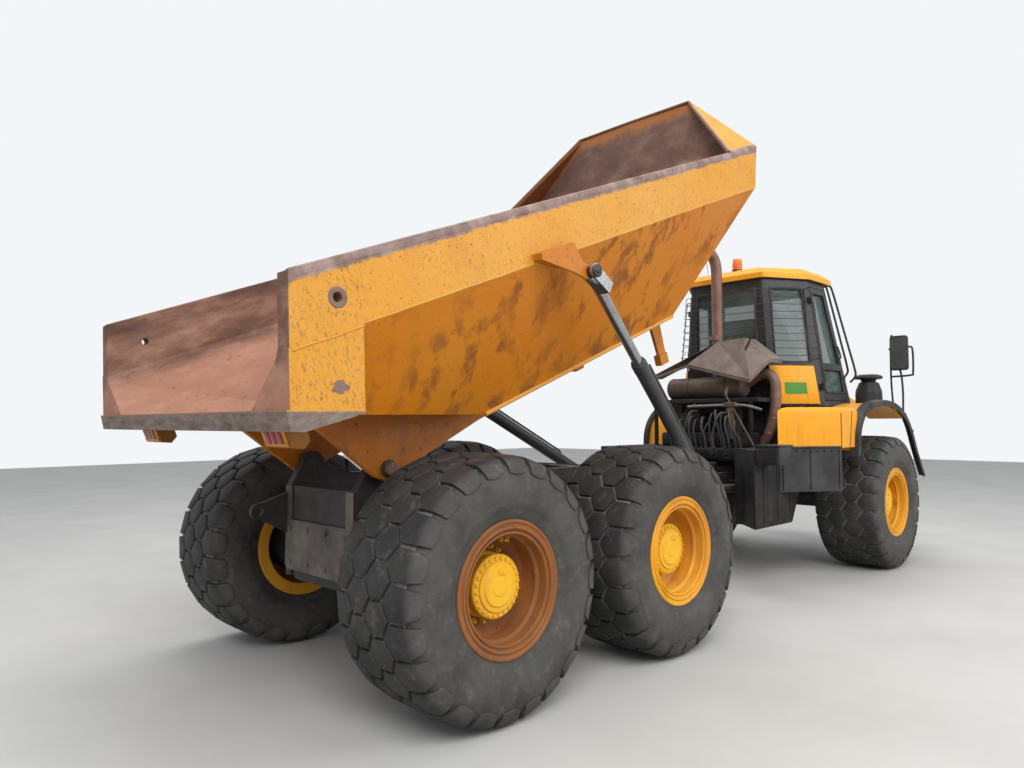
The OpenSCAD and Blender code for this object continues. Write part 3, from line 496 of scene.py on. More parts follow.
def bare(name, light, dark, rust=0.4, metal=0.7, rough=0.5, scale=6):
    """Worn steel or castings with oil and rust."""
    f = Finish(name)
    tone = f.mix(f.step(f.noise(scale, 8, 0.65), 0.35, 0.7), light, dark)
    rusty = f.step(f.noise(4, 9, 0.7), 0.72 - 0.3 * rust, 0.86 - 0.3 * rust)
    tone = f.mix(rusty, tone, rust_colours(f, 11))
    up = f.step(f.axes(f.facing)[2], 0.4, 0.95)
    dusty = f.times(up, f.step(f.noise(5, 6), 0.35, 0.7), 0.45)
    tone = f.mix(dusty, tone, DUST)
    wear = f.math("MULTIPLY_ADD", f.either(rusty, dusty), 0.35, rough)
    shine = f.times(f.less(f.either(rusty, dusty)), metal)
    return f.done(tone, wear, f.noise(60, 6, 0.6), shine, 0.0012)


def moulded(name, colour, dust=0.4, rough=0.6, grain=180):
    """Black plastic or rubber with dust."""
    f = Finish(name)
    faded = [c * 1.8 + 0.01 for c in colour]
    tone = f.mix(f.step(f.noise(2.4, 6, 0.6), 0.4, 0.75), colour, faded)
    up = f.math("MULTIPLY_ADD", f.step(f.axes(f.facing)[2], 0.1, 0.95), 0.7, 0.3)
    dusty = f.times(up, f.step(f.noise(4, 7), 0.4, 0.75), dust)
    tone = f.mix(dusty, tone, DUST)
    wear = f.math("MULTIPLY_ADD", dusty, 0.5, rough)
    return f.done(tone, wear, f.noise(grain, 3), depth=0.0004)


def bed_axes(f):
    """Place and facing in the lowered bed, so that its finish follows its parts."""
    place = f.moved(BED_TIP, tuple(BED_PIN))
    facing = f.moved(BED_TIP, vector=f.facing)
    return place, f.axes(place), f.axes(facing)


def bed_paint(name):
    """The bed: bright yellow rails and posts, orange lower walls, a bare inside."""
    f = Finish(name)
    f.place, (x, y, z), (nx, ny, nz) = bed_axes(f)
    across = f.math("ABSOLUTE", y)
    outward = f.times(f.math("SIGN", y), ny)
    turned_in = f.less(f.step(outward, 0.04, 0.12))

    # Paint: the rails lie above their weld, and the posts lean back
    rail = f.step(z, 2.462, 2.474)
    post = f.step(f.math("ADD", x, f.times(z, -0.366)), -4.845, -4.853)
    bright = f.either(rail, post)
    tone = f.mix(bright, (0.60, 0.185, 0.003), (0.60, 0.262, 0.02))
    fade = f.step(f.noise(1.4, 6, 0.6), 0.4, 0.7)
    pale = f.mix(bright, (0.60, 0.235, 0.015), (0.60, 0.315, 0.07))
    tone = f.mix(f.times(fade, 0.6), tone, pale)

    # Rust on the paint: blotches low down, specks, and scratches on the bright parts
    low_rust = f.less(f.step(z, 1.7, 2.5))
    region = f.either(f.step(f.noise(1.5, 5, 0.6), 0.34, 0.54), f.times(low_rust, 0.6))
    blotch = f.step(f.noise(5.5, 6, 0.6, stretch=(1, 1, 0.6)), 0.5, 0.6)
    blotch = f.times(blotch, region, f.math("MULTIPLY_ADD", bright, -0.85, 1.0))
    specks = f.step(f.noise(46, 6, 0.65), 0.6, 0.68)
    specks = f.times(specks, f.math("MULTIPLY_ADD", region, 0.5, 0.4))
    scratch = f.step(f.noise(26, 9, 0.8, stretch=(2, 1, 0.8)), 0.53, 0.6)
    scratch = f.times(scratch, f.math("MULTIPLY_ADD", post, 0.45, 0.4), bright)
    rusty = f.either(f.times(blotch, 0.8), specks)
    rust = f.ramp(
        f.noise(9, 8, 0.65), (0.3, RUST_MID), (0.55, (0.24, 0.075, 0.015)), (0.75, RUST_BRIGHT)
    )
    tone = f.mix(rusty, tone, rust)
    tone = f.mix(scratch, tone, (0.21, 0.115, 0.05))

    # A ragged band of rust under the caps of the rails
    ragged = f.math("ADD", z, f.times(f.noise(11, 7, 0.7), 0.07))
    above = f.less(f.step(z, 2.85, 2.856))
    band = f.times(f.step(ragged, 2.802, 2.815), above, f.step(across, 1.27, 1.29))
    capped = f.ramp(
        f.noise(8, 8, 0.65),
        (0.3, (0.13, 0.085, 0.07)),
        (0.5, (0.24, 0.165, 0.14)),
        (0.7, (0.36, 0.265, 0.235)),
    )
    tone = f.mix(band, tone, capped)

    # Bare steel: what faces in, up or back, with a redder floor and a dark headboard
    inside = f.either(
        f.step(f.times(outward, -1.0), 0.05, 0.15),
        f.times(f.step(nz, 0.3, 0.5), f.less(f.step(across, 1.30, 1.31)), turned_in),
        f.times(f.step(f.times(nx, -1.0), 0.3, 0.45), turned_in),
    )
    worn = f.ramp(
        f.noise(3.2, 9, 0.7, stretch=(0.5, 1, 1.6)),
        (0.3, (0.075, 0.04, 0.03)),
        (0.48, (0.17, 0.088, 0.062)),
        (0.64, (0.31, 0.175, 0.125)),
        (0.8, (0.42, 0.28, 0.22)),
    )
    floor = f.times(f.less(f.step(z, 2.36, 2.44)), f.less(f.step(x, -0.4, 0.2)))
    worn = f.mix(f.times(floor, 0.5), worn, (0.50, 0.245, 0.155))
    board = f.times(f.step(z, 2.86, 2.9), turned_in)
    worn = f.mix(f.times(board, 0.6), worn, (0.10, 0.062, 0.05))
    frayed = f.noise(6, 7, 0.7)
    slant = f.math("ADD", f.math("ADD", across, f.times(z, 1.22)), f.times(frayed, 0.25))
    top = f.math("ADD", z, f.times(frayed, 0.2))
    edge = f.either(f.step(slant, 4.87, 4.98), f.step(top, 3.38, 3.47))
    worn = f.mix(f.times(edge, board, 0.85), worn, RUST_EDGE)
    worn = f.mix(f.times(f.step(f.noise(24, 7, 0.7), 0.57, 0.7), 0.7), worn, RUST_MID)

    # The lip at the tail is bare too, and greyer
    tail = f.step(f.math("ADD", z, f.times(x, 0.383)), 0.487, 0.478)
    tail = f.times(tail, f.step(x, -4.05, -4.06))
    steel = f.ramp(
        f.noise(6, 9, 0.7, stretch=(1, 1, 3)),
        (0.3, (0.09, 0.06, 0.045)),
        (0.5, (0.19, 0.145, 0.12)),
        (0.72, (0.30, 0.24, 0.20)),
    )
    worn = f.mix(tail, worn, steel)
    bare_part = f.either(inside, tail)
    tone = f.mix(bare_part, tone, worn)
    rough = f.math("MULTIPLY_ADD", f.either(rusty, bare_part, band), 0.35, 0.45)
    height = f.math("ADD", f.times(f.noise(30, 8, 0.7), bare_part, 0.6), f.times(rusty, -0.5))
    return f.done(tone, rough, height, depth=0.002)


def rubber(name):
    """Tyre rubber: black blocks, and walls with dusty smears and scuffs."""
    f = Finish(name)
    dull = f.step(f.noise(3.5, 7, 0.65), 0.35, 0.7)
    tone = f.mix(dull, (0.021, 0.021, 0.022), (0.048, 0.046, 0.043))
    side = f.step(f.math("ABSOLUTE", f.axes(f.facing)[1]), 0.45, 0.95)
    dusty = f.times(side, f.step(f.noise(2.6, 8, 0.68), 0.3, 0.72), 0.55)
    tone = f.mix(dusty, tone, (0.155, 0.14, 0.12))
    smear = f.step(f.noise(9, 7, 0.7), 0.56, 0.78)
    tone = f.mix(f.times(smear, 0.45), tone, (0.22, 0.2, 0.175))
    scuff = f.step(f.noise(34, 6, 0.7), 0.62, 0.75)
    tone = f.mix(f.times(scuff, 0.3), tone, (0.26, 0.24, 0.21))
    wear = f.math("MULTIPLY_ADD", dusty, 0.25, 0.62)
    return f.done(tone, wear, f.noise(55, 7, 0.65), depth=0.0015)


def groove_dust(name):
    """Pale dust in the grooves between a tyre's blocks."""
    f = Finish(name)
    packed = f.step(f.noise(6, 7, 0.65), 0.35, 0.7)
    tone = f.mix(packed, (0.07, 0.065, 0.058), (0.27, 0.245, 0.21))
    return f.done(tone, 0.9, f.noise(70, 6), depth=0.0015)


def pane(name, colour, opacity):
    """Tinted safety glass with a film of dust."""
    f = Finish(name, Roughness=0.06, IOR=1.45)
    film = f.step(f.noise(3, 7, 0.6), 0.35, 0.8)
    tone = f.mix(f.times(film, 0.4), colour, (0.35, 0.36, 0.33))
    alpha = f.math("MULTIPLY_ADD", film, 0.12, opacity)
    f.tree.links.new(alpha, f.shader.inputs["Alpha"])
    return f.done(tone, f.math("MULTIPLY_ADD", film, 0.12, 0.05))


def finish_rows(yellow, black):
    """Each finish: its key, its maker and what that is called with, in that order."""
    amber = tuple(c * k for c, k in zip(yellow, (0.96, 0.82, 0.9)))
    grey = tuple(c * 1.6 + 0.01 for c in black)
    return (
        ("yellow", paint, "yellow_enamel", yellow, amber, 0.18, 0.12, 0.25),
        (
            "underframe", paint, "underframe_enamel",
            (0.55, 0.185, 0.006), (0.42, 0.12, 0.006), 0.75, 0.12, 0.5,
        ),
        ("black", paint, "black_enamel", black, grey, 0.1, 0.2, 0.1, 0.4),
        (
            "frame", paint, "frame_enamel",
            (0.022, 0.022, 0.024), (0.06, 0.055, 0.05), 0.35, 0.4, 0.3, 0.55,
        ),
        (
            "bracket", paint, "bracket_enamel",
            (0.34, 0.13, 0.02), (0.2, 0.08, 0.02), 0.8, 0.2, 0.5, 0.6,
        ),
        (
            "rim", paint, "rim_enamel",
            (0.76, 0.36, 0.012), (0.6, 0.24, 0.012), 0.35, 0.15, 0.4, 0.45,
        ),
        (
            "rim_rusty", paint, "rim_rusty_enamel",
            (0.30, 0.105, 0.02), (0.17, 0.06, 0.022), 0.8, 0.05, 0.6, 0.6, 3.0,
        ),
        (
            "hub", paint, "hub_enamel",
            (0.82, 0.46, 0.015), (0.72, 0.36, 0.015), 0.2, 0.1, 0.2, 0.4,
        ),
        ("bed", bed_paint, "bed_enamel"),
        ("rubber", rubber, "tyre_rubber"),
        ("groove", groove_dust, "tyre_groove_dust"),
        (
            "casting", bare, "oily_casting",
            (0.05, 0.05, 0.052), (0.02, 0.02, 0.022), 0.35, 0.4, 0.5,
        ),
        (
            "barrel", paint, "barrel_enamel",
            (0.035, 0.036, 0.04), (0.07, 0.07, 0.07), 0.2, 0.4, 0.2, 0.42,
        ),
        ("chrome", bare, "hard_chrome", (0.45, 0.45, 0.46), (0.3, 0.3, 0.31), 0.0, 0.9, 0.22),
        ("steel", bare, "ground_steel", (0.3, 0.3, 0.3), (0.18, 0.18, 0.18), 0.3, 0.8, 0.4),
        (
            "stack", bare, "stack_rust",
            (0.19, 0.085, 0.055), (0.1, 0.045, 0.032), 0.75, 0.1, 0.75,
        ),
        (
            "shield", bare, "shield_rust",
            (0.185, 0.145, 0.125), (0.10, 0.07, 0.056), 0.3, 0.25, 0.6,
        ),
        ("rubber_trim", moulded, "black_rubber", (0.018, 0.018, 0.018), 0.35),
        ("plastic", moulded, "black_moulding", (0.014, 0.014, 0.015), 0.25, 0.45),
        ("flare", moulded, "flare_moulding", (0.02, 0.02, 0.021), 0.3, 0.65),
        ("trim", moulded, "cab_trim", (0.03, 0.03, 0.033), 0.2, 0.7, 320),
        (
            "cap", bare, "rail_cap_rust",
            (0.23, 0.145, 0.115), (0.12, 0.07, 0.052), 0.35, 0.1, 0.7, 9,
        ),
        (
            "peach", paint, "gusset_enamel",
            (0.62, 0.27, 0.03), (0.62, 0.33, 0.08), 0.3, 0.1, 0.15, 0.5, 5.0,
        ),
        # Silencer steel, darkened by half as painted shade for the shadow under the shield; the
        # bay's filter takes it too
        (
            "drum", bare, "silencer_steel_painted_shade",
            (0.115, 0.085, 0.058), (0.055, 0.04, 0.028), 0.45, 0.3, 0.6,
        ),
        (
            "pipe", bare, "heated_pipe",
            (0.24, 0.14, 0.10), (0.13, 0.07, 0.05), 0.35, 0.3, 0.55, 9,
        ),
        ("pale", bare, "pale_tube", (0.22, 0.20, 0.17), (0.10, 0.09, 0.075), 0.25, 0.3, 0.5),
        ("hose", moulded, "hose_rubber", (0.02, 0.02, 0.021), 0.35, 0.5),
        # Near black: plain paint on the tanks, dark paint with painted shade on the bay's plates,
        # painted shade in the shield's slots, and soot with painted shade in the stack's mouth
        (
            "black_and_shade", paint, "black_and_painted_shade_enamel",
            (0.008, 0.008, 0.009), (0.014, 0.013, 0.012), 0.15, 0.1, 0.1, 0.6,
        ),
        (
            "mud", bare, "mud_on_steel",
            (0.20, 0.165, 0.14), (0.05, 0.046, 0.044), 0.15, 0.1, 0.75, 3,
        ),
        (
            "green", paint, "label_green",
            (0.05, 0.22, 0.025), (0.09, 0.27, 0.05), 0.0, 0.1, 0.0, 0.5,
        ),
        ("orange_lens", pane, "beacon_lens", (0.9, 0.12, 0.01), 0.85),
        ("red_lens", pane, "tail_lens", (0.35, 0.012, 0.01), 0.95),
        ("mirror", bare, "mirror_face", (0.10, 0.12, 0.12), (0.07, 0.08, 0.08), 0.0, 0.5, 0.3),
        ("pane", pane, "tinted_glass", (0.07, 0.12, 0.11), 0.34),
        ("lens_clear", pane, "clear_lens", (0.75, 0.77, 0.78), 0.75),
    )


PLAIN_PIECES = {
    "frame": ("rear_chassis", "hitch_yoke", "front_chassis", "bogie_beams", "side_tanks"),
    "casting": ("tandem_axles", "front_axle", "rear_propshafts", "engine_block"),
    "yellow": ("fenders", "hood", "cab_roof"),
    "underframe": ("bed_underframe",),
    "bed": ("bed_shell",),
    "black": ("cab_shell", "door_left", "door_right", "mirrors", "grille"),
    "flare": ("fender_flares",),
    "pane": ("cab_glass", "door_glass_left", "door_glass_right"),
    "trim": ("cab_interior",),
    "stack": ("exhaust",),
    "shield": ("heat_shield",),
    "plastic": ("air_intake",),
    "lens_clear": ("lamps",),
    "bracket": ("tail_lamps",),
    "barrel": [a + "_barrel_" + s for a in ("hoist", "steer") for s, _ in SIDES],
    "chrome": [a + "_rod_" + s for a in ("hoist", "steer") for s, _ in SIDES],
    "steel": ["hoist_ball_" + s for s, _ in SIDES],
}


# Sizes and colours that a user would change


def length(name, about, value):
    """A setting in metres."""
    return bpy.props.FloatProperty(name=name, description=about, default=value, unit="LENGTH")


def tint(name, about, value):
    """A setting that is a colour."""
    return bpy.props.FloatVectorProperty(
        name=name, description=about, subtype="COLOR", size=3, default=value
    )


class TruckStageSettings(bpy.types.PropertyGroup):
    floor_size: length("Floor", "Width of the floor", 60.0)
    floor_colour: tint("Floor colour", "Colour of the floor", (0.5, 0.49, 0.465))
    camera_place: bpy.props.FloatVectorProperty(
        name="Camera",
        description="Place of the camera",
        size=3,
        subtype="TRANSLATION",
        unit="LENGTH",
        default=(-6.376, -4.598, 1.757),
    )
    camera_yaw: bpy.props.FloatProperty(
        name="Yaw",
        description="Direction of the camera from forward towards left",
        subtype="ANGLE",
        default=math.radians(45.49),
    )
    camera_pitch: bpy.props.FloatProperty(
        name="Pitch",
        description="Angle of the camera above level",
        subtype="ANGLE",
        default=math.radians(2.92),
    )
    camera_lens: bpy.props.FloatProperty(
        name="Lens", description="Focal length in millimetres", default=25.94, min=10
    )


class TruckTyreSettings(bpy.types.PropertyGroup):
    radius: length("Radius", "Radius of a tyre out to its blocks", 0.785)
    half_width: length("Half width", "Half of a tyre's width", 0.3635)
    groove_depth: length("Groove depth", "Depth of the grooves between the blocks", 0.026)
    groove_width: length("Groove width", "Width of the grooves between the blocks", 0.02)
    pitches: bpy.props.IntProperty(
        name="Pitches", description="Blocks round a shoulder", default=24, min=12
    )


class TruckPaintSettings(bpy.types.PropertyGroup):
    yellow: tint("Yellow", "Colour of the panels", (0.78, 0.35, 0.009))
    black: tint("Black", "Colour of the cab and skirts", (0.016, 0.016, 0.017))


# Turned profiles: pairs of radius and height along the axis

RIM_PROFILE = [
    (0.316, -0.316), (0.388, -0.324), (0.404, -0.318), (0.404, -0.309), (0.385, -0.3),
    (0.33, -0.285), (0.33, 0.285), (0.385, 0.302), (0.402, 0.309), (0.4055, 0.318),
    (0.400, 0.325), (0.388, 0.326), (0.380, 0.318), (0.366, 0.316), (0.362, 0.324),
    (0.354, 0.327), (0.346, 0.322), (0.344, 0.309), (0.334, 0.306), (0.331, 0.314),
    (0.322, 0.316), (0.316, 0.308), (0.314, 0.25), (0.300, 0.236), (0.298, 0.228),
    (0.314, 0.214), (0.315, 0.135), (0.306, 0.112), (0.262, 0.088), (0.236, 0.072),
    (0.196, 0.070), (0.196, 0.040), (0.262, 0.054), (0.312, 0.09), (0.316, 0.0),
]
HUB_PROFILE = [
    (0.0, 0.234), (0.05, 0.234), (0.056, 0.229), (0.112, 0.229), (0.120, 0.221),
    (0.146, 0.219), (0.148, 0.207), (0.182, 0.206), (0.190, 0.198), (0.190, 0.178),
    (0.183, 0.172), (0.181, 0.12), (0.189, 0.112), (0.196, 0.1), (0.197, 0.06),
    (0.18, 0.045), (0.0, 0.045),
]

# Side views: pairs of x and z

FENDER_OVER = [
    (2.13, 1.42), (2.16, 1.6), (2.26, 1.78), (2.47, 1.9), (3.01, 1.965), (3.4, 1.9), (3.71, 1.81)
]
FLARE_RIM = [
    (2.105, 1.36), (2.13, 1.62), (2.25, 1.82), (2.47, 1.945), (3.02, 1.995), (3.5, 1.93),
    (3.85, 1.72), (4.12, 1.35), (4.37, 1.04),
]
FLARE_INNER = [
    (2.165, 1.37), (2.195, 1.6), (2.3, 1.765), (2.5, 1.88), (3.01, 1.925), (3.45, 1.86),
    (3.77, 1.68), (4.05, 1.32), (4.32, 1.01),
]

# Lines in space, on the left where they have a mirror image

WELDS = (
    [(-4.385, 1.4205, 2.468), (-4.16, 1.4205, 2.464), (-3.961, 1.4205, 2.462)],
    [(-3.94, 1.418, 2.476), (-2.0, 1.418, 2.476), (0.52, 1.418, 2.476)],
)
CAB_RAILS = (
    [
        (2.98, 0.74, 3.455), (3.02, 0.79, 3.46), (3.06, 0.812, 3.41), (3.17, 0.862, 3.06),
        (3.27, 0.915, 2.70), (3.35, 0.955, 2.42), (3.37, 0.955, 2.32), (3.34, 0.90, 2.24),
    ],
    [
        (2.90, 0.72, 3.465), (2.945, 0.765, 3.462), (2.975, 0.785, 3.41), (3.07, 0.83, 3.06),
        (3.17, 0.87, 2.72), (3.255, 0.90, 2.44), (3.27, 0.895, 2.36), (3.23, 0.85, 2.28),
    ],
)
MIRROR_TUBES = (
    [
        (3.69, 1.30, 2.845), (3.69, 1.285, 2.78), (3.69, 1.28, 2.60), (3.685, 1.28, 2.25),
        (3.66, 1.30, 2.0), (3.65, 1.31, 1.84),
    ],
    [
        (3.665, 1.40, 2.68), (3.685, 1.50, 2.68), (3.685, 1.54, 2.64), (3.685, 1.54, 2.36),
        (3.685, 1.51, 2.32), (3.685, 1.28, 2.31),
    ],
    [(3.68, 1.37, 2.42), (3.685, 1.40, 2.34), (3.67, 1.42, 2.1), (3.65, 1.42, 1.84)],
)
STACK = [
    (1.57, -0.04, 2.15), (1.57, -0.04, 2.8), (1.57, -0.04, 3.52), (1.567, -0.038, 3.60),
    (1.55, -0.03, 3.68), (1.52, -0.012, 3.745), (1.485, 0.01, 3.79),
]
EXHAUST_ROUTE = [
    (1.65, -0.38, 2.2), (1.65, -0.52, 2.28), (1.65, -0.64, 2.29), (1.65, -0.71, 2.2),
    (1.65, -0.715, 2.02), (1.65, -0.70, 1.85), (1.65, -0.66, 1.7), (1.65, -0.60, 1.56),
    (1.65, -0.52, 1.46),
]
PALE_ROUTE = [
    (1.28, 0.20, 1.925), (1.27, 0.0, 1.93), (1.27, -0.3, 1.935), (1.28, -0.5, 1.93),
    (1.3, -0.62, 1.905), (1.4, -0.66, 1.88),
]
SHIELD_BACK = [
    Vector((1.48, y, z)) for y, z in ((0.9, 2.3), (-0.1, 2.69), (-0.42, 2.71), (-0.74, 2.45))
]
SHIELD_NEAR = [Vector((1.28, -0.59, 2.215)), Vector((1.28, 0.2, 2.43))]
SHIELD_FRONT = 1.78

# Blocks behind the cab: low corner, high corner, bevel and its segments

BAY_BLOCKS = (
    ((1.80, -0.6, 1.2), (1.82, 0.78, 2.2), 0.004, 1),
    ((1.30, -0.68, 1.965), (1.82, 0.72, 2.015), 0.006, 1),
    ((1.72, -0.95, 1.46), (1.80, -0.55, 1.9), 0.01, 1),
    ((1.10, -0.62, 1.31), (1.36, 0.32, 1.45), 0.02, 2),
    ((0.92, -0.34, 0.86), (1.0, 0.34, 1.30), 0.01, 1),
    ((1.30, -0.56, 1.45), (1.60, 0.6, 1.62), 0.03, 2),
    ((1.36, 0.10, 1.62), (1.66, 0.5, 1.86), 0.03, 2),
)


# Operators


class TRUCK_OT_stage(bpy.types.Operator):
    """Sets the floor, the light and the camera"""

    bl_idname = "truck.stage"
    bl_label = "Stage"

    def execute(self, context):
        scene = context.scene
        scene.view_settings.view_transform = "Standard"
        self.floor(scene, scene.truck_stage)
        self.sky(scene)
        self.lights(scene)
        self.camera(scene, scene.truck_stage)
        return {"FINISHED"}

    @staticmethod
    def floor(scene, sizes):
        bm = bmesh.new()
        bmesh.ops.create_grid(bm, x_segments=1, y_segments=1, size=sizes.floor_size / 2)
        mesh = bpy.data.meshes.new("floor")
        bm.to_mesh(mesh)
        bm.free()
        floor = bpy.data.objects.new("floor", mesh)
        scene.collection.objects.link(floor)
        f = Finish("floor_concrete")
        colour = tuple(sizes.floor_colour)
        worn = [c * 0.9 for c in colour]
        tone = f.mix(f.step(f.noise(0.7, 6, 0.6), 0.4, 0.7), colour, worn)
        mesh.materials.append(f.done(tone, 0.85, f.noise(30, 5), depth=0.001))

    @staticmethod
    def sky(scene):
        """A soft light all round, which the camera and the gloss see as a paler white."""
        world = bpy.data.worlds.new("sky")
        scene.world = world
        world.use_nodes = True
        tree = world.node_tree
        back = tree.nodes["Background"]
        back.inputs[0].default_value = (0.86, 0.9, 0.96, 1)
        back.inputs[1].default_value = 0.75
        shown = tree.nodes.new("ShaderNodeBackground")
        shown.inputs[0].default_value = (0.9, 0.92, 0.94, 1)
        rays = tree.nodes.new("ShaderNodeLightPath")
        choice = tree.nodes.new("ShaderNodeMixShader")
        seen = rays.outputs["Is Camera Ray"]
        for ray in ("Is Glossy Ray", "Is Transmission Ray"):
            either = tree.nodes.new("ShaderNodeMath")
            either.operation = "MAXIMUM"
            tree.links.new(seen, either.inputs[0])
            tree.links.new(rays.outputs[ray], either.inputs[1])
            seen = either.outputs[0]
        tree.links.new(seen, choice.inputs[0])
        tree.links.new(back.outputs[0], choice.inputs[1])
        tree.links.new(shown.outputs[0], choice.inputs[2])
        tree.links.new(choice.outputs[0], tree.nodes["World Output"].inputs[0])

    @staticmethod
    def lights(scene):
        aim = Vector((0, 0, 1.5))
        for name, place, size, power in (
            ("key", (-9, -9, 11), 9, 1500),
            ("fill", (4, -12, 7), 8, 650),
            ("top", (0, 2, 13), 10, 900),
        ):
            lamp = bpy.data.lights.new(name, "AREA")
            lamp.shape = "DISK"
            lamp.size = size
            lamp.energy = power
            light = bpy.data.objects.new(name, lamp)
            light.matrix_world = turned_to(Vector(place) - aim, place)
            scene.collection.objects.link(light)

    @staticmethod
    def camera(scene, sizes):
        camera = bpy.data.cameras.new("camera")
        camera.lens = sizes.camera_lens
        camera.sensor_width = 36
        camera.clip_end = 200
        eye = bpy.data.objects.new("camera", camera)
        turn = (
            Matrix.Rotation(sizes.camera_yaw - math.pi / 2, 4, "Z")
            @ Matrix.Rotation(math.pi / 2 + sizes.camera_pitch, 4, "X")
            @ Matrix.Rotation(CAMERA_ROLL, 4, "Z")
        )
        eye.matrix_world = Matrix.Translation(sizes.camera_place) @ turn
        scene.collection.objects.link(eye)
        scene.camera = eye


class TRUCK_OT_finishes(bpy.types.Operator):
    """Makes the finishes and puts them on the plain pieces"""

    bl_idname = "truck.finishes"
    bl_label = "Finishes"

    def execute(self, context):
        colours = context.scene.truck_paint
        for key, make, *values in finish_rows(tuple(colours.yellow), tuple(colours.black)):
            MATERIALS[key] = make(*values)
        for key, names in PLAIN_PIECES.items():
            for name in names:
                mesh = NODES[name].data
                mesh.materials.clear()
                mesh.materials.append(MATERIALS[key])
        return {"FINISHED"}


class TRUCK_OT_tyres(bpy.types.Operator):
    """Makes the six tyres, with a honeycomb of blocks round each"""

    bl_idname = "truck.tyres"
    bl_label = "Tyres"

    def execute(self, context):
        base = self.tyre(context.scene.truck_tyres)
        for number, name in enumerate(WHEELS):
            low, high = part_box("tyre_" + name)
            bm = base.copy()
            turn = Matrix.Rotation(math.radians(11 * number), 4, "Y")
            place = Matrix.Translation((low + high) / 2)
            bmesh.ops.transform(bm, matrix=place @ turn, verts=bm.verts)
            finished(
                "tyre_cover_" + name, bm, "wheel_" + name, "tyre", "rubber", "groove",
                angle=38, replaced=["tyre_" + name],
            )
        base.free()
        return {"FINISHED"}

    def tyre(self, sizes):
        """One tyre round the origin: its carcass and its blocks."""
        half = self.half_profile(sizes)
        bm = bmesh.new()
        profile = [(r, -y) for y, r in reversed(half)] + [(r, y) for y, r in half[1:]]
        add_spin(bm, profile, (0, 0, 0), (0, 1, 0), 96, closed=True)
        crown = sizes.radius - sizes.groove_depth - 0.03
        for face in bm.faces:
            middle = face.calc_center_median()
            if math.hypot(middle.x, middle.z) > crown and abs(middle.y) < TREAD_HALF:
                face.material_index = 1
        self.blocks(bm, half, sizes)
        return bm

    @staticmethod
    def half_profile(sizes):
        """Pairs of distance from the middle and radius, from the crown to the bead."""
        top = sizes.radius
        depth = sizes.groove_depth
        wide = sizes.half_width
        return [
            (0.0, top - depth),
            (0.16, top - depth - 0.002),
            (0.26, top - depth - 0.007),
            (0.305, top - depth - 0.018),
            (0.335, top - 0.075),
            (wide - 0.013, top - 0.115),
            (wide - 0.002, top - 0.17),
            (wide, top - 0.22),
            (wide - 0.005, top - 0.27),
            (wide - 0.014, top - 0.312),
            (wide - 0.02, top - 0.318),
            (wide - 0.024, top - 0.342),
            (wide - 0.04, top - 0.36),
            (0.315, 0.4),
            (0.298, 0.388),
            (0.275, 0.345),
            (0.27, 0.3305),
        ]

    def blocks(self, bm, half, sizes):
        """Two rows of hexagons and a row of lugs on each shoulder."""
        pitch = math.tau * sizes.radius / sizes.pitches
        gap = sizes.groove_width / 2
        side = pitch / 2 - gap
        hexagon = [(0, 0.115), (1, 0.055), (1, -0.055), (0, -0.115), (-1, -0.055), (-1, 0.055)]
        inner = [(u * side, v - gap * (1 if v > 0 else -1)) for u, v in hexagon]
        shoulder = [
            (0, 0.14 + gap),
            (side, 0.2 + gap * 0.6),
            (side * 0.97, 0.30),
            (side * 0.8, 0.385),
            (side * 0.25, 0.398),
            (-side * 0.25, 0.398),
            (-side * 0.8, 0.385),
            (-side * 0.97, 0.30),
            (-side, 0.2 + gap * 0.6),
        ]
        rows = (
            ([(u, v + 0.085) for u, v in inner], 0.5),
            ([(u, v - 0.085) for u, v in inner], 0.0),
            (shoulder, 0.0),
            ([(-u, -v) for u, v in shoulder], 0.5),
        )
        for outline, shift in rows:
            block = bmesh.new()
            foot = [(u, v, -BLOCK_ROOT) for u, v in outline]
            add_plate(block, foot, (0, 0, BLOCK_ROOT + sizes.groove_depth))
            tops = [e for e in block.edges if all(v.co.z > 0 for v in e.verts)]
            round_edges(block, tops, 0.009, 2)
            for cut in (0.24, 0.28, 0.31, 0.335, 0.36):
                for sign in SIGNS:
                    bmesh.ops.bisect_plane(
                        block,
                        geom=block.verts[:] + block.edges[:] + block.faces[:],
                        plane_co=(0, cut * sign, 0),
                        plane_no=(0, 1, 0),
                    )
            for vert in block.verts:
                vert.co = self.wrapped(vert.co, half, sizes.radius, shift * pitch)
            bmesh.ops.spin(
                block,
                geom=block.verts[:] + block.edges[:] + block.faces[:],
                cent=(0, 0, 0),
                axis=(0, 1, 0),
                dvec=(0, 0, 0),
                angle=math.tau * (sizes.pitches - 1) / sizes.pitches,
                steps=sizes.pitches - 1,
                use_duplicate=True,
            )
            mesh = bpy.data.meshes.new("blocks")
            block.to_mesh(mesh)
            block.free()
            bm.from_mesh(mesh)
            bpy.data.meshes.remove(mesh)

    @staticmethod
    def wrapped(point, half, radius, shift):
        """Lays a point of a flat block on the tyre: along, across and height."""
        along, across, height = point.x + shift, abs(point.y), point.z
        run = 0.0
        for (y0, r0), (y1, r1) in zip(half, half[1:]):
            step = math.hypot(y1 - y0, r1 - r0)
            if run + step >= across or (y1, r1) == half[WIDEST]:
                break
            run += step
        share = (across - run) / step
        normal = Vector(((r0 - r1) / step, (y1 - y0) / step))
        keep = 1.0 if across < 0.3 else max(0.25, 1 - (across - 0.3) * 6.5)
        y = y0 + (y1 - y0) * share + normal.x * height * keep
        r = r0 + (r1 - r0) * share + normal.y * height * keep
        y = math.copysign(y, point.y)
        angle = along / radius
        return Vector((r * math.sin(angle), y, r * math.cos(angle)))


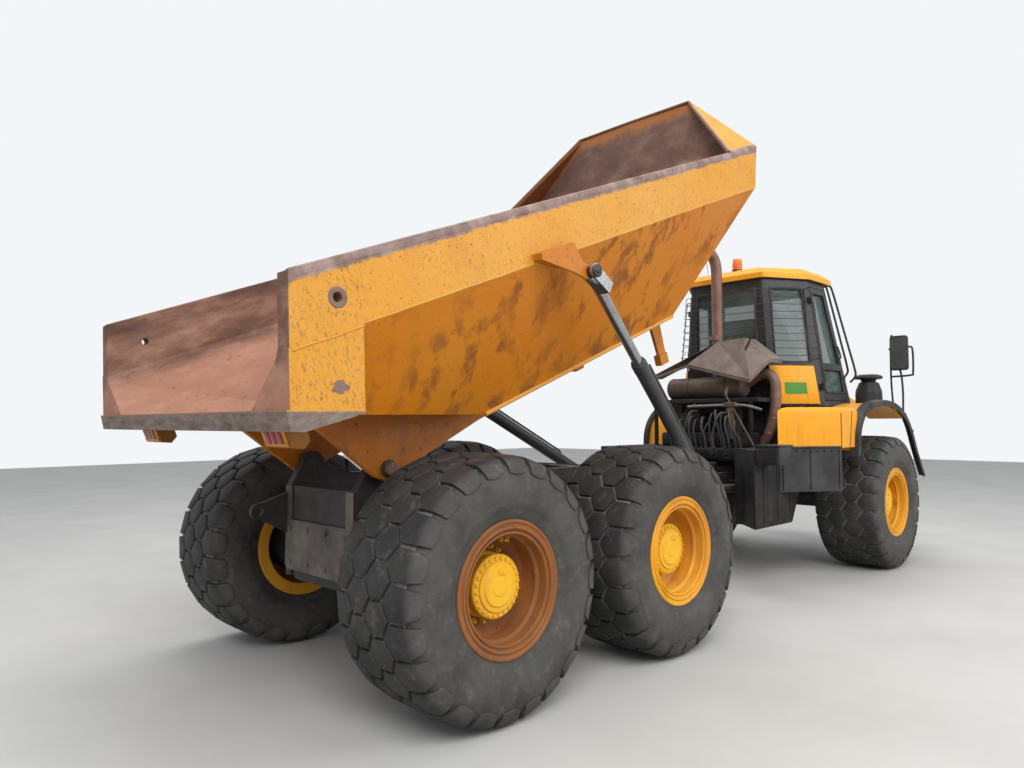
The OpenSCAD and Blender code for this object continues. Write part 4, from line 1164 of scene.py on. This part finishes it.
class TRUCK_OT_rims(bpy.types.Operator):
    """Makes the six rims, with their lock rings, bolts and hub drives"""

    bl_idname = "truck.rims"
    bl_label = "Rims"

    def execute(self, context):
        for name in WHEELS:
            low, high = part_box("rim_" + name)
            middle = (low + high) / 2
            sign = 1 if middle.y > 0 else -1
            axis = Vector((0, sign, 0))
            centre = Vector((middle.x, sign * WHEEL_MIDDLE, middle.z))
            bm = bmesh.new()
            add_spin(bm, RIM_PROFILE, centre, axis, 72, closed=True)
            count = len(bm.faces)
            self.hub(bm, centre, axis, random.Random(name))
            mark_faces(bm, count, 1)
            finished(
                "rim_shell_" + name, bm, "wheel_" + name, "rim_paint",
                "rim_rusty" if name == "rear_right" else "rim", "hub",
                replaced=["rim_" + name],
            )
        return {"FINISHED"}

    @staticmethod
    def hub(bm, centre, axis, pick):
        """The hub drive with its bolts and plugs, the rim's bolts and the valve."""
        add_spin(bm, HUB_PROFILE, centre, axis, 48)
        place = turned_to(axis, centre)
        for reach, height, angles, radius, rise in (
            (0.167, 0.206, even_angles(24, 0.3), 0.0095, 0.012),
            (0.226, 0.071, even_angles(20), 0.013, 0.02),
            (0.085, 0.229, (1.1, 1.45), 0.012, 0.008),
        ):
            for at in round_spots(place, reach, height, angles):
                add_bolt(bm, at, axis, radius, rise)
        turn = place @ Matrix.Rotation(pick.random() * math.tau, 4, "Z")
        for low, high in ((-0.03, -0.024), (0.024, 0.03)):
            add_box(bm, (0.262, low, 0.2), (0.318, high, 0.235), 0.002, 1, turn)
        valve = ((0.31, 0, 0.13), (0.285, 0, 0.15), (0.275, 0, 0.2), (0.272, 0, 0.24))
        add_tube(bm, [turn @ Vector(p) for p in valve], 0.006, 8)


class TRUCK_OT_fenders(bpy.types.Operator):
    """Makes the fenders, their rubber flares and flap, and the tanks under the cab"""

    bl_idname = "truck.fenders"
    bl_label = "Fenders"

    def execute(self, context):
        self.panels()
        self.rubbers()
        self.tanks()
        return {"FINISHED"}

    @staticmethod
    def panels():
        """An arch on each side, and on the right a box that runs diagonally in plan."""
        bm = bmesh.new()
        line = curved_side(FENDER_OVER, 4)
        back = curved_side(
            [(x + 0.035 if x < 2.4 else x, z if x < 2.2 else z - 0.035) for x, z in FENDER_OVER],
            4,
        )
        for sign in SIGNS:
            near, far = sign * TANK_FACE, sign * FENDER_SIDE
            add_loft(bm, [
                at_side(line, near), at_side(line, far), at_side(back, far), at_side(back, near)
            ])
            add_side_box(bm, sign, (1.97, 0.76, FENDER_FOOT), (2.17, 1.0, 1.53), 0.01)
        plan = [
            (1.12, -TANK_FACE), (1.745, -FENDER_SIDE), (2.12, -FENDER_SIDE),
            (2.2, -FENDER_SIDE), (2.2, -TANK_FACE),
        ]
        verts = add_plate(bm, [(x, y, FENDER_FOOT) for x, y in plan], (0, 0, 0.4397))
        tops = [e for e in edges_of(verts) if all(v.co.z > 1.8 for v in e.verts)]
        round_edges(bm, tops, 0.055, 5)
        add_box(bm, (1.13, -1.0, 1.452), (1.16, -0.99, 1.475), 0.002, 1)
        finished(
            "fender_panels", bm, "front_frame", "yellow_paint", "yellow", replaced=["fenders"]
        )

        bm = bmesh.new()
        skin = -1.4025
        add_rod(bm, (1.745, skin, 1.462), (1.745, skin, 1.84), 0.004, 6)
        add_rod(bm, (1.97, skin, 1.462), (2.05, skin, 1.86), 0.004, 6)
        add_rod(bm, (1.15, -1.006, 1.47), (1.735, -1.395, 1.47), 0.012, 8)
        finished("fender_seams", bm, "front_frame", "flare_rubber", "rubber_trim")

    @staticmethod
    def rubbers():
        """The flares round the front wheels, and the flap under the right box."""
        bm = bmesh.new()
        line = curved_side(FLARE_RIM, 5)
        back = curved_side(FLARE_INNER, 5)
        for sign in SIGNS:
            add_loft(bm, [
                at_side(line, sign * 1.375, 0.004), at_side(line, sign * 1.425, 0.003),
                at_side(line, sign * 1.441, -0.012), at_side(back, sign * 1.445),
                at_side(back, sign * 1.436), at_side(line, sign * 1.428, -0.025),
                at_side(line, sign * 1.375, -0.012),
            ])
            add_tube(bm, at_side(line, sign * 1.372, -0.004), 0.013, 8)
            for x, z in line[3:-6:4]:
                add_bolt(bm, (x + 0.02, sign * 1.4448, z - 0.035), (0, sign, 0), 0.008, 0.006)
        flap = [(1.13, -0.992), (1.745, -1.400), (1.753, -1.388), (1.138, -0.98)]
        add_plate(bm, [(x, y, 1.0) for x, y in flap], (0, 0, 0.46))
        finished(
            "fender_rubbers", bm, "front_frame", "flare_rubber", "flare",
            replaced=["fender_flares"],
        )

        bm = bmesh.new()
        for share in (0.06, 0.5, 0.96):
            at = Vector((1.13, -0.996, 0)).lerp(Vector((1.745, -1.404, 0)), share)
            low, high = (at.x - 0.012, at.y - 0.004, 1.02), (at.x + 0.012, at.y + 0.004, 1.45)
            add_box(bm, low, high, 0.002, 1)
        for i in range(9):
            at = Vector((1.13, -0.999, 1.435)).lerp(Vector((1.745, -1.407, 1.435)), (i + 0.5) / 9)
            add_bolt(bm, at, (-0.55, -0.83, 0), 0.008, 0.006)
        finished("flap_strips", bm, "front_frame", "flare_rubber", "rubber_trim")

    @staticmethod
    def tanks():
        """The tanks with their straps and bolts, and the tray behind the right one."""
        bm = bmesh.new()
        outline = [
            (0.86, 0.66), (1.42, 0.66), (1.62, 1.0), (2.06, 1.38), (2.06, 1.46), (0.86, 1.46)
        ]
        plan = [(0.60, TANK_FACE), (0.60, 0.965), (0.86, 0.70), (0.86, TANK_FACE)]
        for sign in SIGNS:
            add_plate(bm, at_side(outline, sign * 0.62), (0, sign * 0.365, 0), 0.006, 2)
            add_plate(bm, [(x, sign * y, 0.66) for x, y in plan], (0, 0, 0.80), 0.006, 2)
            for x in (0.78, 1.08, 1.36):
                add_side_box(
                    bm, sign, (x - 0.006, 0.983, 0.7), (x + 0.006, 0.992, 1.42), 0.002, 1
                )
            for z in (0.7, 1.4):
                for x in (0.65, 0.93, 1.22, 1.4):
                    add_bolt(bm, (x, sign * TANK_FACE, z), (0, sign, 0), 0.01, 0.008)
        finished(
            "tank_cases", bm, "front_frame", "black_paint", "black_and_shade", replaced=["side_tanks"]
        )

        bm = bmesh.new()
        add_box(bm, (0.61, -1.235, 1.31), (0.90, -TANK_FACE, 1.50), 0.012, 2)
        add_box(bm, (0.60, -1.245, 1.49), (0.92, -0.975, 1.512), 0.006, 2)
        add_box(bm, (0.604, -1.215, 1.335), (0.612, -1.005, 1.465), 0.003, 1)
        finished("side_tray", bm, "front_frame", "black_paint", "black")


class TRUCK_OT_bed(bpy.types.Operator):
    """Makes the bed's caps, edges, welds, bosses and hoist fittings"""

    bl_idname = "truck.bed"
    bl_label = "Bed"

    def execute(self, context):
        bm = bmesh.new()
        for sign in SIGNS:
            low, high = (-4.274, 1.36, 2.772), (0.708, 1.4225, 2.838)
            add_side_box(bm, sign, low, high, 0.026, 5, BED_TURN)
        finished("rail_caps", bm, "bed", "bed_paint", "bed")

        bm = bmesh.new()
        rim = [(0.19, 1.412, 2.842), (0.96, 0.705, 3.43), (0.975, 0.0, 3.435)]
        for sign in SIGNS:
            add_tube(bm, [bed(*p) for p in sided(rim, sign)], 0.013, 10)
        finished("headboard_edges", bm, "bed", "bed_paint", "cap")

        rough = random.Random(7)
        self.welds(rough)

        bm = bmesh.new()
        chine = [(-2.85, 0.836, 1.562), (-1.6, 0.836, 1.562), (-0.36, 0.836, 1.562)]
        for sign in SIGNS:
            add_tube(bm, [bed(*p) for p in sided(chine, sign)], 0.017, 8)
        finished("bed_edge_bars", bm, "bed", "bed_paint", "peach")

        self.bosses(rough)
        for side, sign in SIDES:
            self.hoist_head(side, sign)
        return {"FINISHED"}

    @staticmethod
    def welds(rough):
        """The beads under the posts and the rails, each a little uneven."""
        bm = bmesh.new()
        for sign in SIGNS:
            for line in WELDS:
                ends = [Vector(p) for p in line]
                points = []
                for a, b in zip(ends, ends[1:]):
                    count = max(2, int((b - a).length / WELD_STEP))
                    points += [a.lerp(b, i / count) for i in range(count)]
                points.append(ends[-1])
                points = [p + Vector((0, 0, rough.uniform(-0.0025, 0.0025))) for p in points]
                add_tube(bm, [bed(p.x, sign * p.y, p.z) for p in points], 0.0045, 6)
        finished("bed_welds", bm, "bed", "bed_paint", "peach")

    @staticmethod
    def bosses(rough):
        """A ring round the hole and a rusty star on each post, and the hoist eyes' pins."""
        bm = bmesh.new()
        eyes = bmesh.new()
        ring = [(0.0275, 0.0), (0.0275, 0.001), (0.050, 0.0035), (0.055, 0.0)]
        cap = [
            (0.0, 0.078), (0.018, 0.078), (0.022, 0.072), (0.040, 0.072), (0.044, 0.066),
            (0.044, 0.0), (0.0, 0.0),
        ]
        back = [(0.0, -0.055), (0.04, -0.055), (0.04, 0.0), (0.0, 0.0)]
        for sign in SIGNS:
            axis = Vector((0, sign, 0))
            add_spin(bm, ring, bed(-4.06, sign * POST_FACE, 2.64), axis, 32, closed=True)
            spot = []
            for angle in even_angles(18):
                d = 0.03 + 0.028 * rough.random()
                spot.append((-4.203 + d * math.cos(angle), 2.224 + d * math.sin(angle)))
            lift = BED_TURN.to_3x3() @ Vector((0, sign * 0.0008, 0))
            add_plate(bm, [bed(x, sign * POST_FACE, z) for x, z in spot], lift)
            eye = Vector(HOIST_EYE) * Vector((1, sign, 1))
            add_spin(eyes, cap, eye, axis, 28)
            add_spin(eyes, back, eye, axis, 24)
        finished("bed_bosses", bm, "bed", "bed_paint", "cap")
        finished("hoist_eye_pins", eyes, "bed", "bed_paint", "casting")

    @staticmethod
    def hoist_head(side, sign):
        """The gland of a hoist barrel with its bolts, and the oil pipe along it."""
        bm = bmesh.new()
        base, eye = (Vector(p) * Vector((1, sign, 1)) for p in (HOIST_BASE, HOIST_EYE))
        line = (eye - base).normalized()
        gland = [
            (0.0405, 0.03), (0.053, 0.03), (0.057, 0.024), (0.057, 0.0), (0.0625, -0.004),
            (0.0625, -0.05), (0.0615, -0.056), (0.0612, -0.1), (0.0605, -0.1),
        ]
        add_spin(bm, gland, base + line * 2.05, line, 32)
        place = turned_to(line, base + line * 2.09)
        for at in round_spots(place, 0.049, 0, even_angles(8)):
            add_bolt(bm, at, line, 0.004, 0.003)
        for share in (0.35, 1.85):
            port = base + line * share
            add_rod(bm, port, port + Vector((0, sign * 0.03, 0.095)), 0.02, 12)
        beside = Vector((0, sign * 0.03, 0.09))
        ends = [base + line * share + beside for share in (0.35, 1.1, 1.85)]
        lifted = [p + Vector((0, 0, 0.012)) for p in ends]
        add_tube(bm, [ends[0], *lifted, ends[-1]], 0.011, 8)
        finished("hoist_head_" + side, bm, "hoist_barrel_" + side, "barrel_paint", "barrel")


class TRUCK_OT_cab(bpy.types.Operator):
    """Makes the cab's panels, seals, wire guard, rails, hinges and lamps"""

    bl_idname = "truck.cab"
    bl_label = "Cab"

    def execute(self, context):
        self.panels()
        self.guard()
        self.rails()
        self.beacon()
        for side, sign in SIDES:
            self.door(side, sign)
        return {"FINISHED"}

    @staticmethod
    def panels():
        """The yellow quarter panels with a blank label, and the seals of the panes."""
        bm = bmesh.new()
        corners = ((0.0, 1.95), (0.9, 1.95), (0.87, 2.405), (0.0, 2.405))
        outline = [quarter(a, z) for a, z in corners]
        add_plate(bm, outline, Vector((-0.59, -0.8, 0.05)) * 0.012, 0.005, 2)
        mirrored(bm)
        finished("quarter_panels", bm, "front_frame", "yellow_paint", "yellow")

        bm = bmesh.new()
        corners = ((0.27, 2.07), (0.68, 2.07), (0.68, 2.205), (0.27, 2.205))
        label = [quarter(a, z, 0.0245) for a, z in corners]
        add_plate(bm, label, Vector((-0.59, -0.8, 0)) * 0.001)
        finished("quarter_label", bm, "front_frame", "black_paint", "green")

        bm = bmesh.new()
        corners = ((0.15, PANE_LOW), (0.83, PANE_LOW), (0.83, PANE_TOP), (0.15, PANE_TOP))
        side_pane = [quarter(a, z, 0.004) for a, z in (*corners, corners[0])]
        rear_pane = [
            (1.848, y, z)
            for y, z in (
                (-0.4, PANE_LOW), (0.0, PANE_LOW), (0.4, PANE_LOW),
                (0.4, PANE_TOP), (-0.4, PANE_TOP), (-0.4, PANE_LOW),
            )
        ]
        for edge in (side_pane, rear_pane, sided(side_pane, -1)):
            add_rods(bm, edge, 0.013)
        finished("window_seals", bm, "front_frame", "flare_rubber", "rubber_trim")

    @staticmethod
    def guard():
        """Ten wires round the back of the cab, and the stays that hold them."""
        bm = bmesh.new()
        for i in range(10):
            z = 2.52 + 0.088 * i
            side = cab_side(z)
            rear = 0.56 - (z - CAB_LOW) * 0.0588
            half = [
                (2.38, side + 0.015), (2.36, side + 0.05), (2.30, side + 0.055),
                (1.83, rear + 0.065), (1.785, rear + 0.02), (1.775, rear - 0.06),
            ]
            ring = [(x, -y, z) for x, y in half] + [(1.775, 0, z)]
            add_tube(bm, ring + [(x, y, z) for x, y in reversed(half)], 0.0042, 6)
        for y in (-0.43, 0.43):
            add_rod(bm, (1.782, y, 2.49), (1.782, y * 0.95, 3.34), 0.007, 8)
            for z in (2.5, 3.33):
                add_rod(bm, (1.782, y, z), (1.86, y, z), 0.006, 6)
        for sign in SIGNS:
            ends = []
            for z in (2.49, 3.35):
                side = cab_side(z)
                ends.append((2.33, sign * (side + 0.052), z))
                add_rod(bm, ends[-1], (2.36, sign * (side - 0.01), z), 0.006, 6)
            add_rod(bm, *ends, 0.006, 8)
        finished("window_guard", bm, "front_frame", "black_paint", "black")

    @staticmethod
    def rails():
        """The door hinges, a pair of handrails and a gutter on each side, and the aerial."""
        bm = bmesh.new()
        for sign in SIGNS:
            for z in (2.15, 3.2):
                y = cab_side(z)
                low, high = (2.36, y - 0.005, z - 0.03), (2.41, y + 0.045, z + 0.045)
                add_side_box(bm, sign, low, high, 0.006, 2)
            for rail in CAB_RAILS:
                add_tube(bm, sided(curved(rail, 4), sign), 0.0135, 10)
            gutter = [(1.86, 0.50), (2.40, 0.80), (2.88, 0.80), (3.0, 0.72)]
            add_tube(bm, [(x, sign * y, 3.462) for x, y in gutter], 0.013, 8)
        add_rod(bm, (2.05, 0.35, 3.58), (2.0, 0.36, 4.05), 0.0035, 6)
        finished("cab_rails", bm, "front_frame", "black_paint", "black")

    @staticmethod
    def beacon():
        """The orange lamp on the roof."""
        foot, up = (1.97, -0.1, 3.59), (0, 0, 1)
        bm = bmesh.new()
        dome = [
            (0.0, 0.166), (0.022, 0.164), (0.042, 0.152), (0.055, 0.13), (0.06, 0.1),
            (0.061, 0.02), (0.0, 0.02),
        ]
        add_spin(bm, dome, foot, up, 32)
        finished("beacon_dome", bm, "front_frame", "lamp_lens", "orange_lens")
        bm = bmesh.new()
        base = [(0.0, 0.028), (0.066, 0.028), (0.068, 0.02), (0.068, -0.01), (0.0, -0.01)]
        add_spin(bm, base, foot, up, 32)
        finished("beacon_base", bm, "front_frame", "black_paint", "plastic")

    @staticmethod
    def door(side, sign):
        """The ribs, seals, grip and latch on one door."""
        bm = bmesh.new()
        for low, high in ((2.385, 2.435), (1.995, 2.03)):
            y = cab_side(low)
            add_side_box(bm, sign, (2.46, y - 0.03, low), (3.07, y + 0.004, high), 0.006, 2)
        for line in (
            [(2.49, 2.09), (3.01, 2.09), (3.01, 2.375), (2.49, 2.375), (2.49, 2.09)],
            [(2.49, 2.44), (3.0, 2.44), (2.8, 3.31), (2.49, 3.31), (2.49, 2.44)],
        ):
            add_rods(bm, [(x, sign * (cab_side(z) + 0.003), z) for x, z in line], 0.011)
        grip = [
            (2.98, 0.0, 2.52), (2.98, 0.045, 2.53), (2.95, 0.05, 2.60), (2.92, 0.045, 2.67),
            (2.92, 0.0, 2.68),
        ]
        add_tube(bm, [(x, sign * (cab_side(z) + y), z) for x, y, z in grip], 0.009, 8)
        y = cab_side(2.22)
        add_side_box(bm, sign, (3.025, y - 0.005, 2.18), (3.065, y + 0.022, 2.30), 0.006, 2)
        finished("door_frame_" + side, bm, "door_" + side, "black_paint", "black")


class TRUCK_OT_fittings(bpy.types.Operator):
    """Makes the tail's plate, lamps and pins, the mirrors and the intake"""

    bl_idname = "truck.fittings"
    bl_label = "Fittings"

    def execute(self, context):
        self.tail_plate()
        self.tail_lamps()
        bm = bmesh.new()
        head = [(0.0, 0.042), (0.036, 0.042), (0.042, 0.034), (0.042, 0.0), (0.0, 0.0)]
        for sign in SIGNS:
            add_spin(bm, head, BED_PIN + Vector((0, sign * 0.584, 0)), (0, sign, 0), 28)
        finished("bed_pin_caps", bm, "rear_frame", "frame_paint", "cap")
        self.mirrors()
        self.intake()
        return {"FINISHED"}

    @staticmethod
    def tail_plate():
        """The bolted plate at the rear of the frame, caked with mud."""
        bm = bmesh.new()
        for y0, y1 in ((-0.45, -0.36), (0.36, 0.45)):
            add_box(bm, (TAIL - 0.016, y0, 0.72), (TAIL - 0.004, y1, 1.30), 0.004, 1)
        add_box(bm, (TAIL - 0.02, -0.42, 0.70), (TAIL - 0.004, 0.42, 1.06), 0.006, 1)
        for y in (-0.36, -0.12, 0.12, 0.36):
            for z in (0.76, 1.0):
                add_bolt(bm, (TAIL - 0.02, y, z), (-1, 0, 0), 0.016, 0.012)
        finished("tail_plate", bm, "rear_frame", "frame_paint", "mud")

    @staticmethod
    def tail_lamps():
        """A bolted plate with three lenses on each side of the bed's tail."""
        plate, lens = bmesh.new(), bmesh.new()
        rearward = BED_TURN.to_3x3() @ Vector((-1, 0, 0))
        for sign in SIGNS:
            add_side_box(
                plate, sign, (-4.386, 0.80, 1.968), (-4.382, 1.06, 2.088), 0.002, 1, BED_TURN
            )
            for y in (0.865, 0.93, 0.995):
                low, high = (-4.396, y - 0.026, 1.985), (-4.385, y + 0.026, 2.07)
                add_side_box(lens, sign, low, high, 0.004, 2, BED_TURN)
            for y in (0.815, 1.045):
                for z in (1.985, 2.07):
                    add_bolt(plate, bed(-4.386, sign * y, z), rearward, 0.007, 0.005)
        finished("lamp_plates", plate, "bed", "bed_paint", "peach")
        finished("tail_lenses", lens, "bed", "lamp_lens", "red_lens")

    @staticmethod
    def mirrors():
        """A housing with its glass on a bent tube frame, on each side."""
        frames, glass = bmesh.new(), bmesh.new()
        corner = 0.035
        for sign in SIGNS:
            middle = Vector((3.625, sign * 1.395, 2.605))
            outline = []
            for cy, cz, start in (
                (0.07, 0.185, 0), (-0.07, 0.185, 1), (-0.07, -0.185, 2), (0.07, -0.185, 3)
            ):
                for k in range(5):
                    angle = math.radians(90 * start + 22.5 * k)
                    y, z = cy + corner * math.cos(angle), cz + corner * math.sin(angle)
                    outline.append(middle + Vector((0, y, z)))
            add_plate(frames, outline, (0.05, 0, 0), 0.008, 2)
            shrunk = [middle + (p - middle) * 0.9 + Vector((-0.001, 0, 0)) for p in outline]
            add_plate(glass, shrunk, (-0.003, 0, 0))
            for line in MIRROR_TUBES:
                add_tube(frames, sided(curved(line, 4), sign), 0.0125, 10)
            for y in (1.285, 1.40):
                add_rod(frames, (3.66, sign * y, 2.66), (3.70, sign * y, 2.66), 0.02, 10)
        finished(
            "mirror_frames", frames, "front_frame", "black_paint", "black", replaced=["mirrors"]
        )
        finished("mirror_faces", glass, "front_frame", "black_paint", "mirror")

    @staticmethod
    def intake():
        """The cap of the air intake, and its ribbed hose."""
        bm = bmesh.new()
        cap = [
            (0.0, 2.345), (0.11, 2.342), (0.15, 2.33), (0.168, 2.312), (0.17, 2.295),
            (0.158, 2.285), (0.10, 2.28), (0.086, 2.26), (0.083, 2.25), (0.115, 2.235),
            (0.13, 2.19), (0.15, 2.15), (0.158, 2.10), (0.16, 1.96), (0.0, 1.96),
        ]
        add_spin(bm, cap, (3.56, -1.045, 0), (0, 0, 1), 36)
        rib = [
            (0.0, -0.017), (0.075, -0.017), (0.088, -0.006), (0.088, 0.006), (0.075, 0.017),
            (0.0, 0.017),
        ]
        for i in range(7):
            add_spin(bm, rib, (3.74 + 0.04 * i, -0.98 + 0.02 * i, 2.08), (1, 0.4, 0), 24)
        finished("intake_cap", bm, "front_frame", "intake_plastic", "plastic")


class TRUCK_OT_engine_bay(bpy.types.Operator):
    """Makes the exhaust, its shield, and the pipes and hoses behind the cab"""

    bl_idname = "truck.engine_bay"
    bl_label = "Engine bay"

    def execute(self, context):
        self.exhaust()
        self.shield()
        self.slots()
        self.bay()
        self.hoses()
        return {"FINISHED"}

    @staticmethod
    def exhaust():
        """The stack and the pipe to it, the silencer's drum, darkened with painted shade, and a
        disc of soot and painted shade in the dark of the mouth.
        """
        bm = bmesh.new()
        up = (0, 0, 1)
        add_tube(bm, STACK[:2] + curved(STACK[2:], 5), 0.064, 24)
        collar = [(0.066, 0.0), (0.074, 0.0), (0.074, 0.05), (0.066, 0.05)]
        add_spin(bm, collar, (1.55, -0.02, 2.72), up, 32, closed=True)
        add_tube(bm, curved(EXHAUST_ROUTE, 5), 0.06, 24)
        clamp = [(0.06, -0.014), (0.066, -0.014), (0.066, 0.014), (0.06, 0.014)]
        for y, z, lean in ((-0.716, 2.04, 0.02), (-0.685, 1.78, 0.15), (-0.625, 1.61, 0.35)):
            add_spin(bm, clamp, (1.65, y, z), (0, lean, 1), 28, closed=True)
        count = len(bm.faces)
        # The drum's finish carries painted shade
        drum = [
            (0.0, -0.01), (0.075, -0.01), (0.112, 0.004), (0.128, 0.02), (0.132, 0.03),
            (0.13, 0.045), (0.13, 0.49), (0.133, 0.5), (0.13, 0.51), (0.13, 0.955),
            (0.132, 0.97), (0.126, 0.985), (0.1, 1.005), (0.0, 1.01),
        ]
        add_spin(bm, drum, (1.55, 0.6, 2.15), (0, -1, 0), 48)
        band = [(0.131, -0.02), (0.136, -0.02), (0.136, 0.02), (0.131, 0.02)]
        for y in (0.32, -0.16):
            add_spin(bm, band, (1.55, y, 2.15), (0, 1, 0), 48, closed=True)
        mark_faces(bm, count, 1)
        count = len(bm.faces)
        # A thin near-black disc stands for the hollow of the stack: soot, and painted shade
        mouth = [(0.0, 0.0015), (0.055, 0.0015), (0.055, 0.0), (0.0, 0.0)]
        before, tip = (Vector(p) for p in STACK[-2:])
        add_spin(bm, mouth, tip, tip - before, 24)
        mark_faces(bm, count, 2)
        finished(
            "exhaust_line", bm, "front_frame", "exhaust_rust", "pipe", "drum", "black_and_shade",
            replaced=["exhaust"],
        )

    @staticmethod
    def shield():
        """The folded sheet over the silencer, with a lip that hangs from its edge."""
        bm = bmesh.new()
        back, near = SHIELD_BACK, SHIELD_NEAR
        front = [Vector((SHIELD_FRONT, p.y, p.z)) for p in back]
        panels = [[back[i], front[i], front[i + 1], back[i + 1]] for i in range(3)]
        panels += [
            [back[1], back[2], near[0]], [back[1], near[0], near[1]], [back[2], back[3], near[0]]
        ]
        for panel in panels:
            normal = (panel[1] - panel[0]).cross(panel[2] - panel[0]).normalized()
            add_plate(bm, panel, normal * math.copysign(0.005, normal.z))
        drop = Vector((0, 0, -0.035))
        edge = [back[0], near[1], near[0], back[3], front[3]]
        for a, b in zip(edge, edge[1:]):
            out = (b - a).cross(drop).normalized() * 0.004
            add_plate(bm, [a, b, b + drop, a + drop], out)
        finished(
            "shield_sheet", bm, "front_frame", "shield_rust", "shield", replaced=["heat_shield"]
        )

    @staticmethod
    def slots():
        """Four near-black plates on the plane of the sheet's middle facet, as painted shade in
        its slots, of which one shows.
        """
        bm = bmesh.new()
        corner, near = SHIELD_BACK[1], SHIELD_NEAR[0]
        normal = (SHIELD_BACK[2] - corner).cross(near - corner).normalized()
        normal *= math.copysign(1, normal.z)
        for i in range(4):
            low = -0.11 - 0.115 * i
            ends = []
            for y, x in ((low, 1.40), (low - 0.09, 1.50)):
                fall = ((y - corner.y) * normal.y + (x - corner.x) * normal.x) / normal.z
                ends.append(Vector((x, y, corner.z - fall + 0.006)))
            across = normal.cross(ends[1] - ends[0]).normalized() * 0.013
            outline = [ends[0] - across, ends[0] + across, ends[1] + across, ends[1] - across]
            # Each slot is a thin near-black plate: painted shade for the opening
            add_plate(bm, outline, normal * 0.002)
        finished("shield_slots", bm, "front_frame", "shield_rust", "black_and_shade")

    @staticmethod
    def bay():
        """The dark plates and blocks that fill the bay, near black as dark paint and painted
        shade, the filter and the pale pipe.
        """
        bm = bmesh.new()
        # The bay's plates are near black: dark paint, and painted shade for the depth of the bay
        for low, high, bevel, segments in BAY_BLOCKS:
            add_box(bm, low, high, bevel, segments)
        for y in (-0.56, -0.40, -0.24, -0.08, 0.08, 0.22):
            add_box(bm, (1.07, y - 0.05, 1.33), (1.11, y + 0.05, 1.44), 0.006, 1)
            add_rod(bm, (1.07, y, 1.385), (1.03, y, 1.385), 0.02, 10)
        for y in (-0.60, 0.66):
            add_box(bm, (1.30, y, 1.3), (1.34, y + 0.04, 1.97), 0.004, 1)
        finished("bay_plates", bm, "front_frame", "frame_paint", "black_and_shade")

        bm = bmesh.new()
        elbow = (1.27, -0.30, 2.05)
        add_rod(bm, elbow, (1.22, -0.67, 1.46), 0.011, 10)
        add_rod(bm, elbow, (1.30, -0.30, 2.13), 0.018, 10)
        add_box(bm, (1.24, -0.43, 1.91), (1.30, -0.28, 1.965), 0.008, 1)
        can = [
            (0.0, 0.0), (0.036, 0.0), (0.045, 0.012), (0.045, 0.30), (0.052, 0.305),
            (0.052, 0.36), (0.0, 0.36),
        ]
        add_spin(bm, can, (1.28, -0.355, 1.545), (0, 0, 1), 24)
        # The filter takes the silencer's finish, with its painted shade
        finished("bay_filter", bm, "front_frame", "frame_paint", "drum")

        bm = bmesh.new()
        add_tube(bm, curved(PALE_ROUTE, 4), 0.0165, 12)
        for y in (0.1, -0.26, -0.44):
            add_rod(bm, (1.27, y - 0.01, 1.932), (1.27, y + 0.01, 1.932), 0.022, 12)
        finished("pale_pipe", bm, "front_frame", "frame_paint", "pale")

    @staticmethod
    def hoses():
        """Hoses, each with a fitting at its foot."""
        bm = bmesh.new()
        pick = random.Random(11)
        for i in range(15):
            y = 0.34 - 0.064 * i
            x = 1.16 + pick.uniform(-0.03, 0.05)
            lean = pick.uniform(-0.1, 0.16)
            top = 1.80 + pick.uniform(-0.06, 0.1)
            line = [
                (x + 0.12, y + lean, top),
                (x + 0.02, y + lean * 0.7, top - 0.01),
                (x - 0.05, y + lean * 0.4, top - 0.12),
                (x - 0.06, y, 1.56),
                (x - 0.05, y - 0.01, 1.47),
                (x - 0.02, y - 0.015, 1.43),
            ]
            add_tube(bm, curved(line, 4), pick.choice((0.011, 0.0135, 0.016)), 9)
            end = Vector(line[-1])
            start = end + Vector((-0.03, 0.005, 0.035))
            add_rod(bm, start, end + Vector((0, 0, -0.01)), 0.019, 6)
        finished("bay_hoses", bm, "front_frame", "frame_paint", "hose")


class TRUCK_PT_panel(bpy.types.Panel):
    """Lists the steps that dress the truck"""

    bl_label = "Truck"
    bl_space_type = "VIEW_3D"
    bl_region_type = "UI"
    bl_category = "Truck"

    def draw(self, context):
        for operator in OPERATORS:
            self.layout.operator(operator.bl_idname)


OPERATORS = (
    TRUCK_OT_stage,
    TRUCK_OT_finishes,
    TRUCK_OT_tyres,
    TRUCK_OT_rims,
    TRUCK_OT_fenders,
    TRUCK_OT_bed,
    TRUCK_OT_cab,
    TRUCK_OT_fittings,
    TRUCK_OT_engine_bay,
)
SETTINGS = (
    ("truck_stage", TruckStageSettings),
    ("truck_tyres", TruckTyreSettings),
    ("truck_paint", TruckPaintSettings),
)


def register():
    for name, group in SETTINGS:
        bpy.utils.register_class(group)
        setattr(bpy.types.Scene, name, bpy.props.PointerProperty(type=group))
    for item in (*OPERATORS, TRUCK_PT_panel):
        bpy.utils.register_class(item)


def unregister():
    for item in (TRUCK_PT_panel, *reversed(OPERATORS)):
        bpy.utils.unregister_class(item)
    for name, group in reversed(SETTINGS):
        delattr(bpy.types.Scene, name)
        bpy.utils.unregister_class(group)


def main():
    register()
    for operator in OPERATORS:
        group, name = operator.bl_idname.split(".")
        getattr(getattr(bpy.ops, group), name)()


if __name__ == "__main__":
    main()
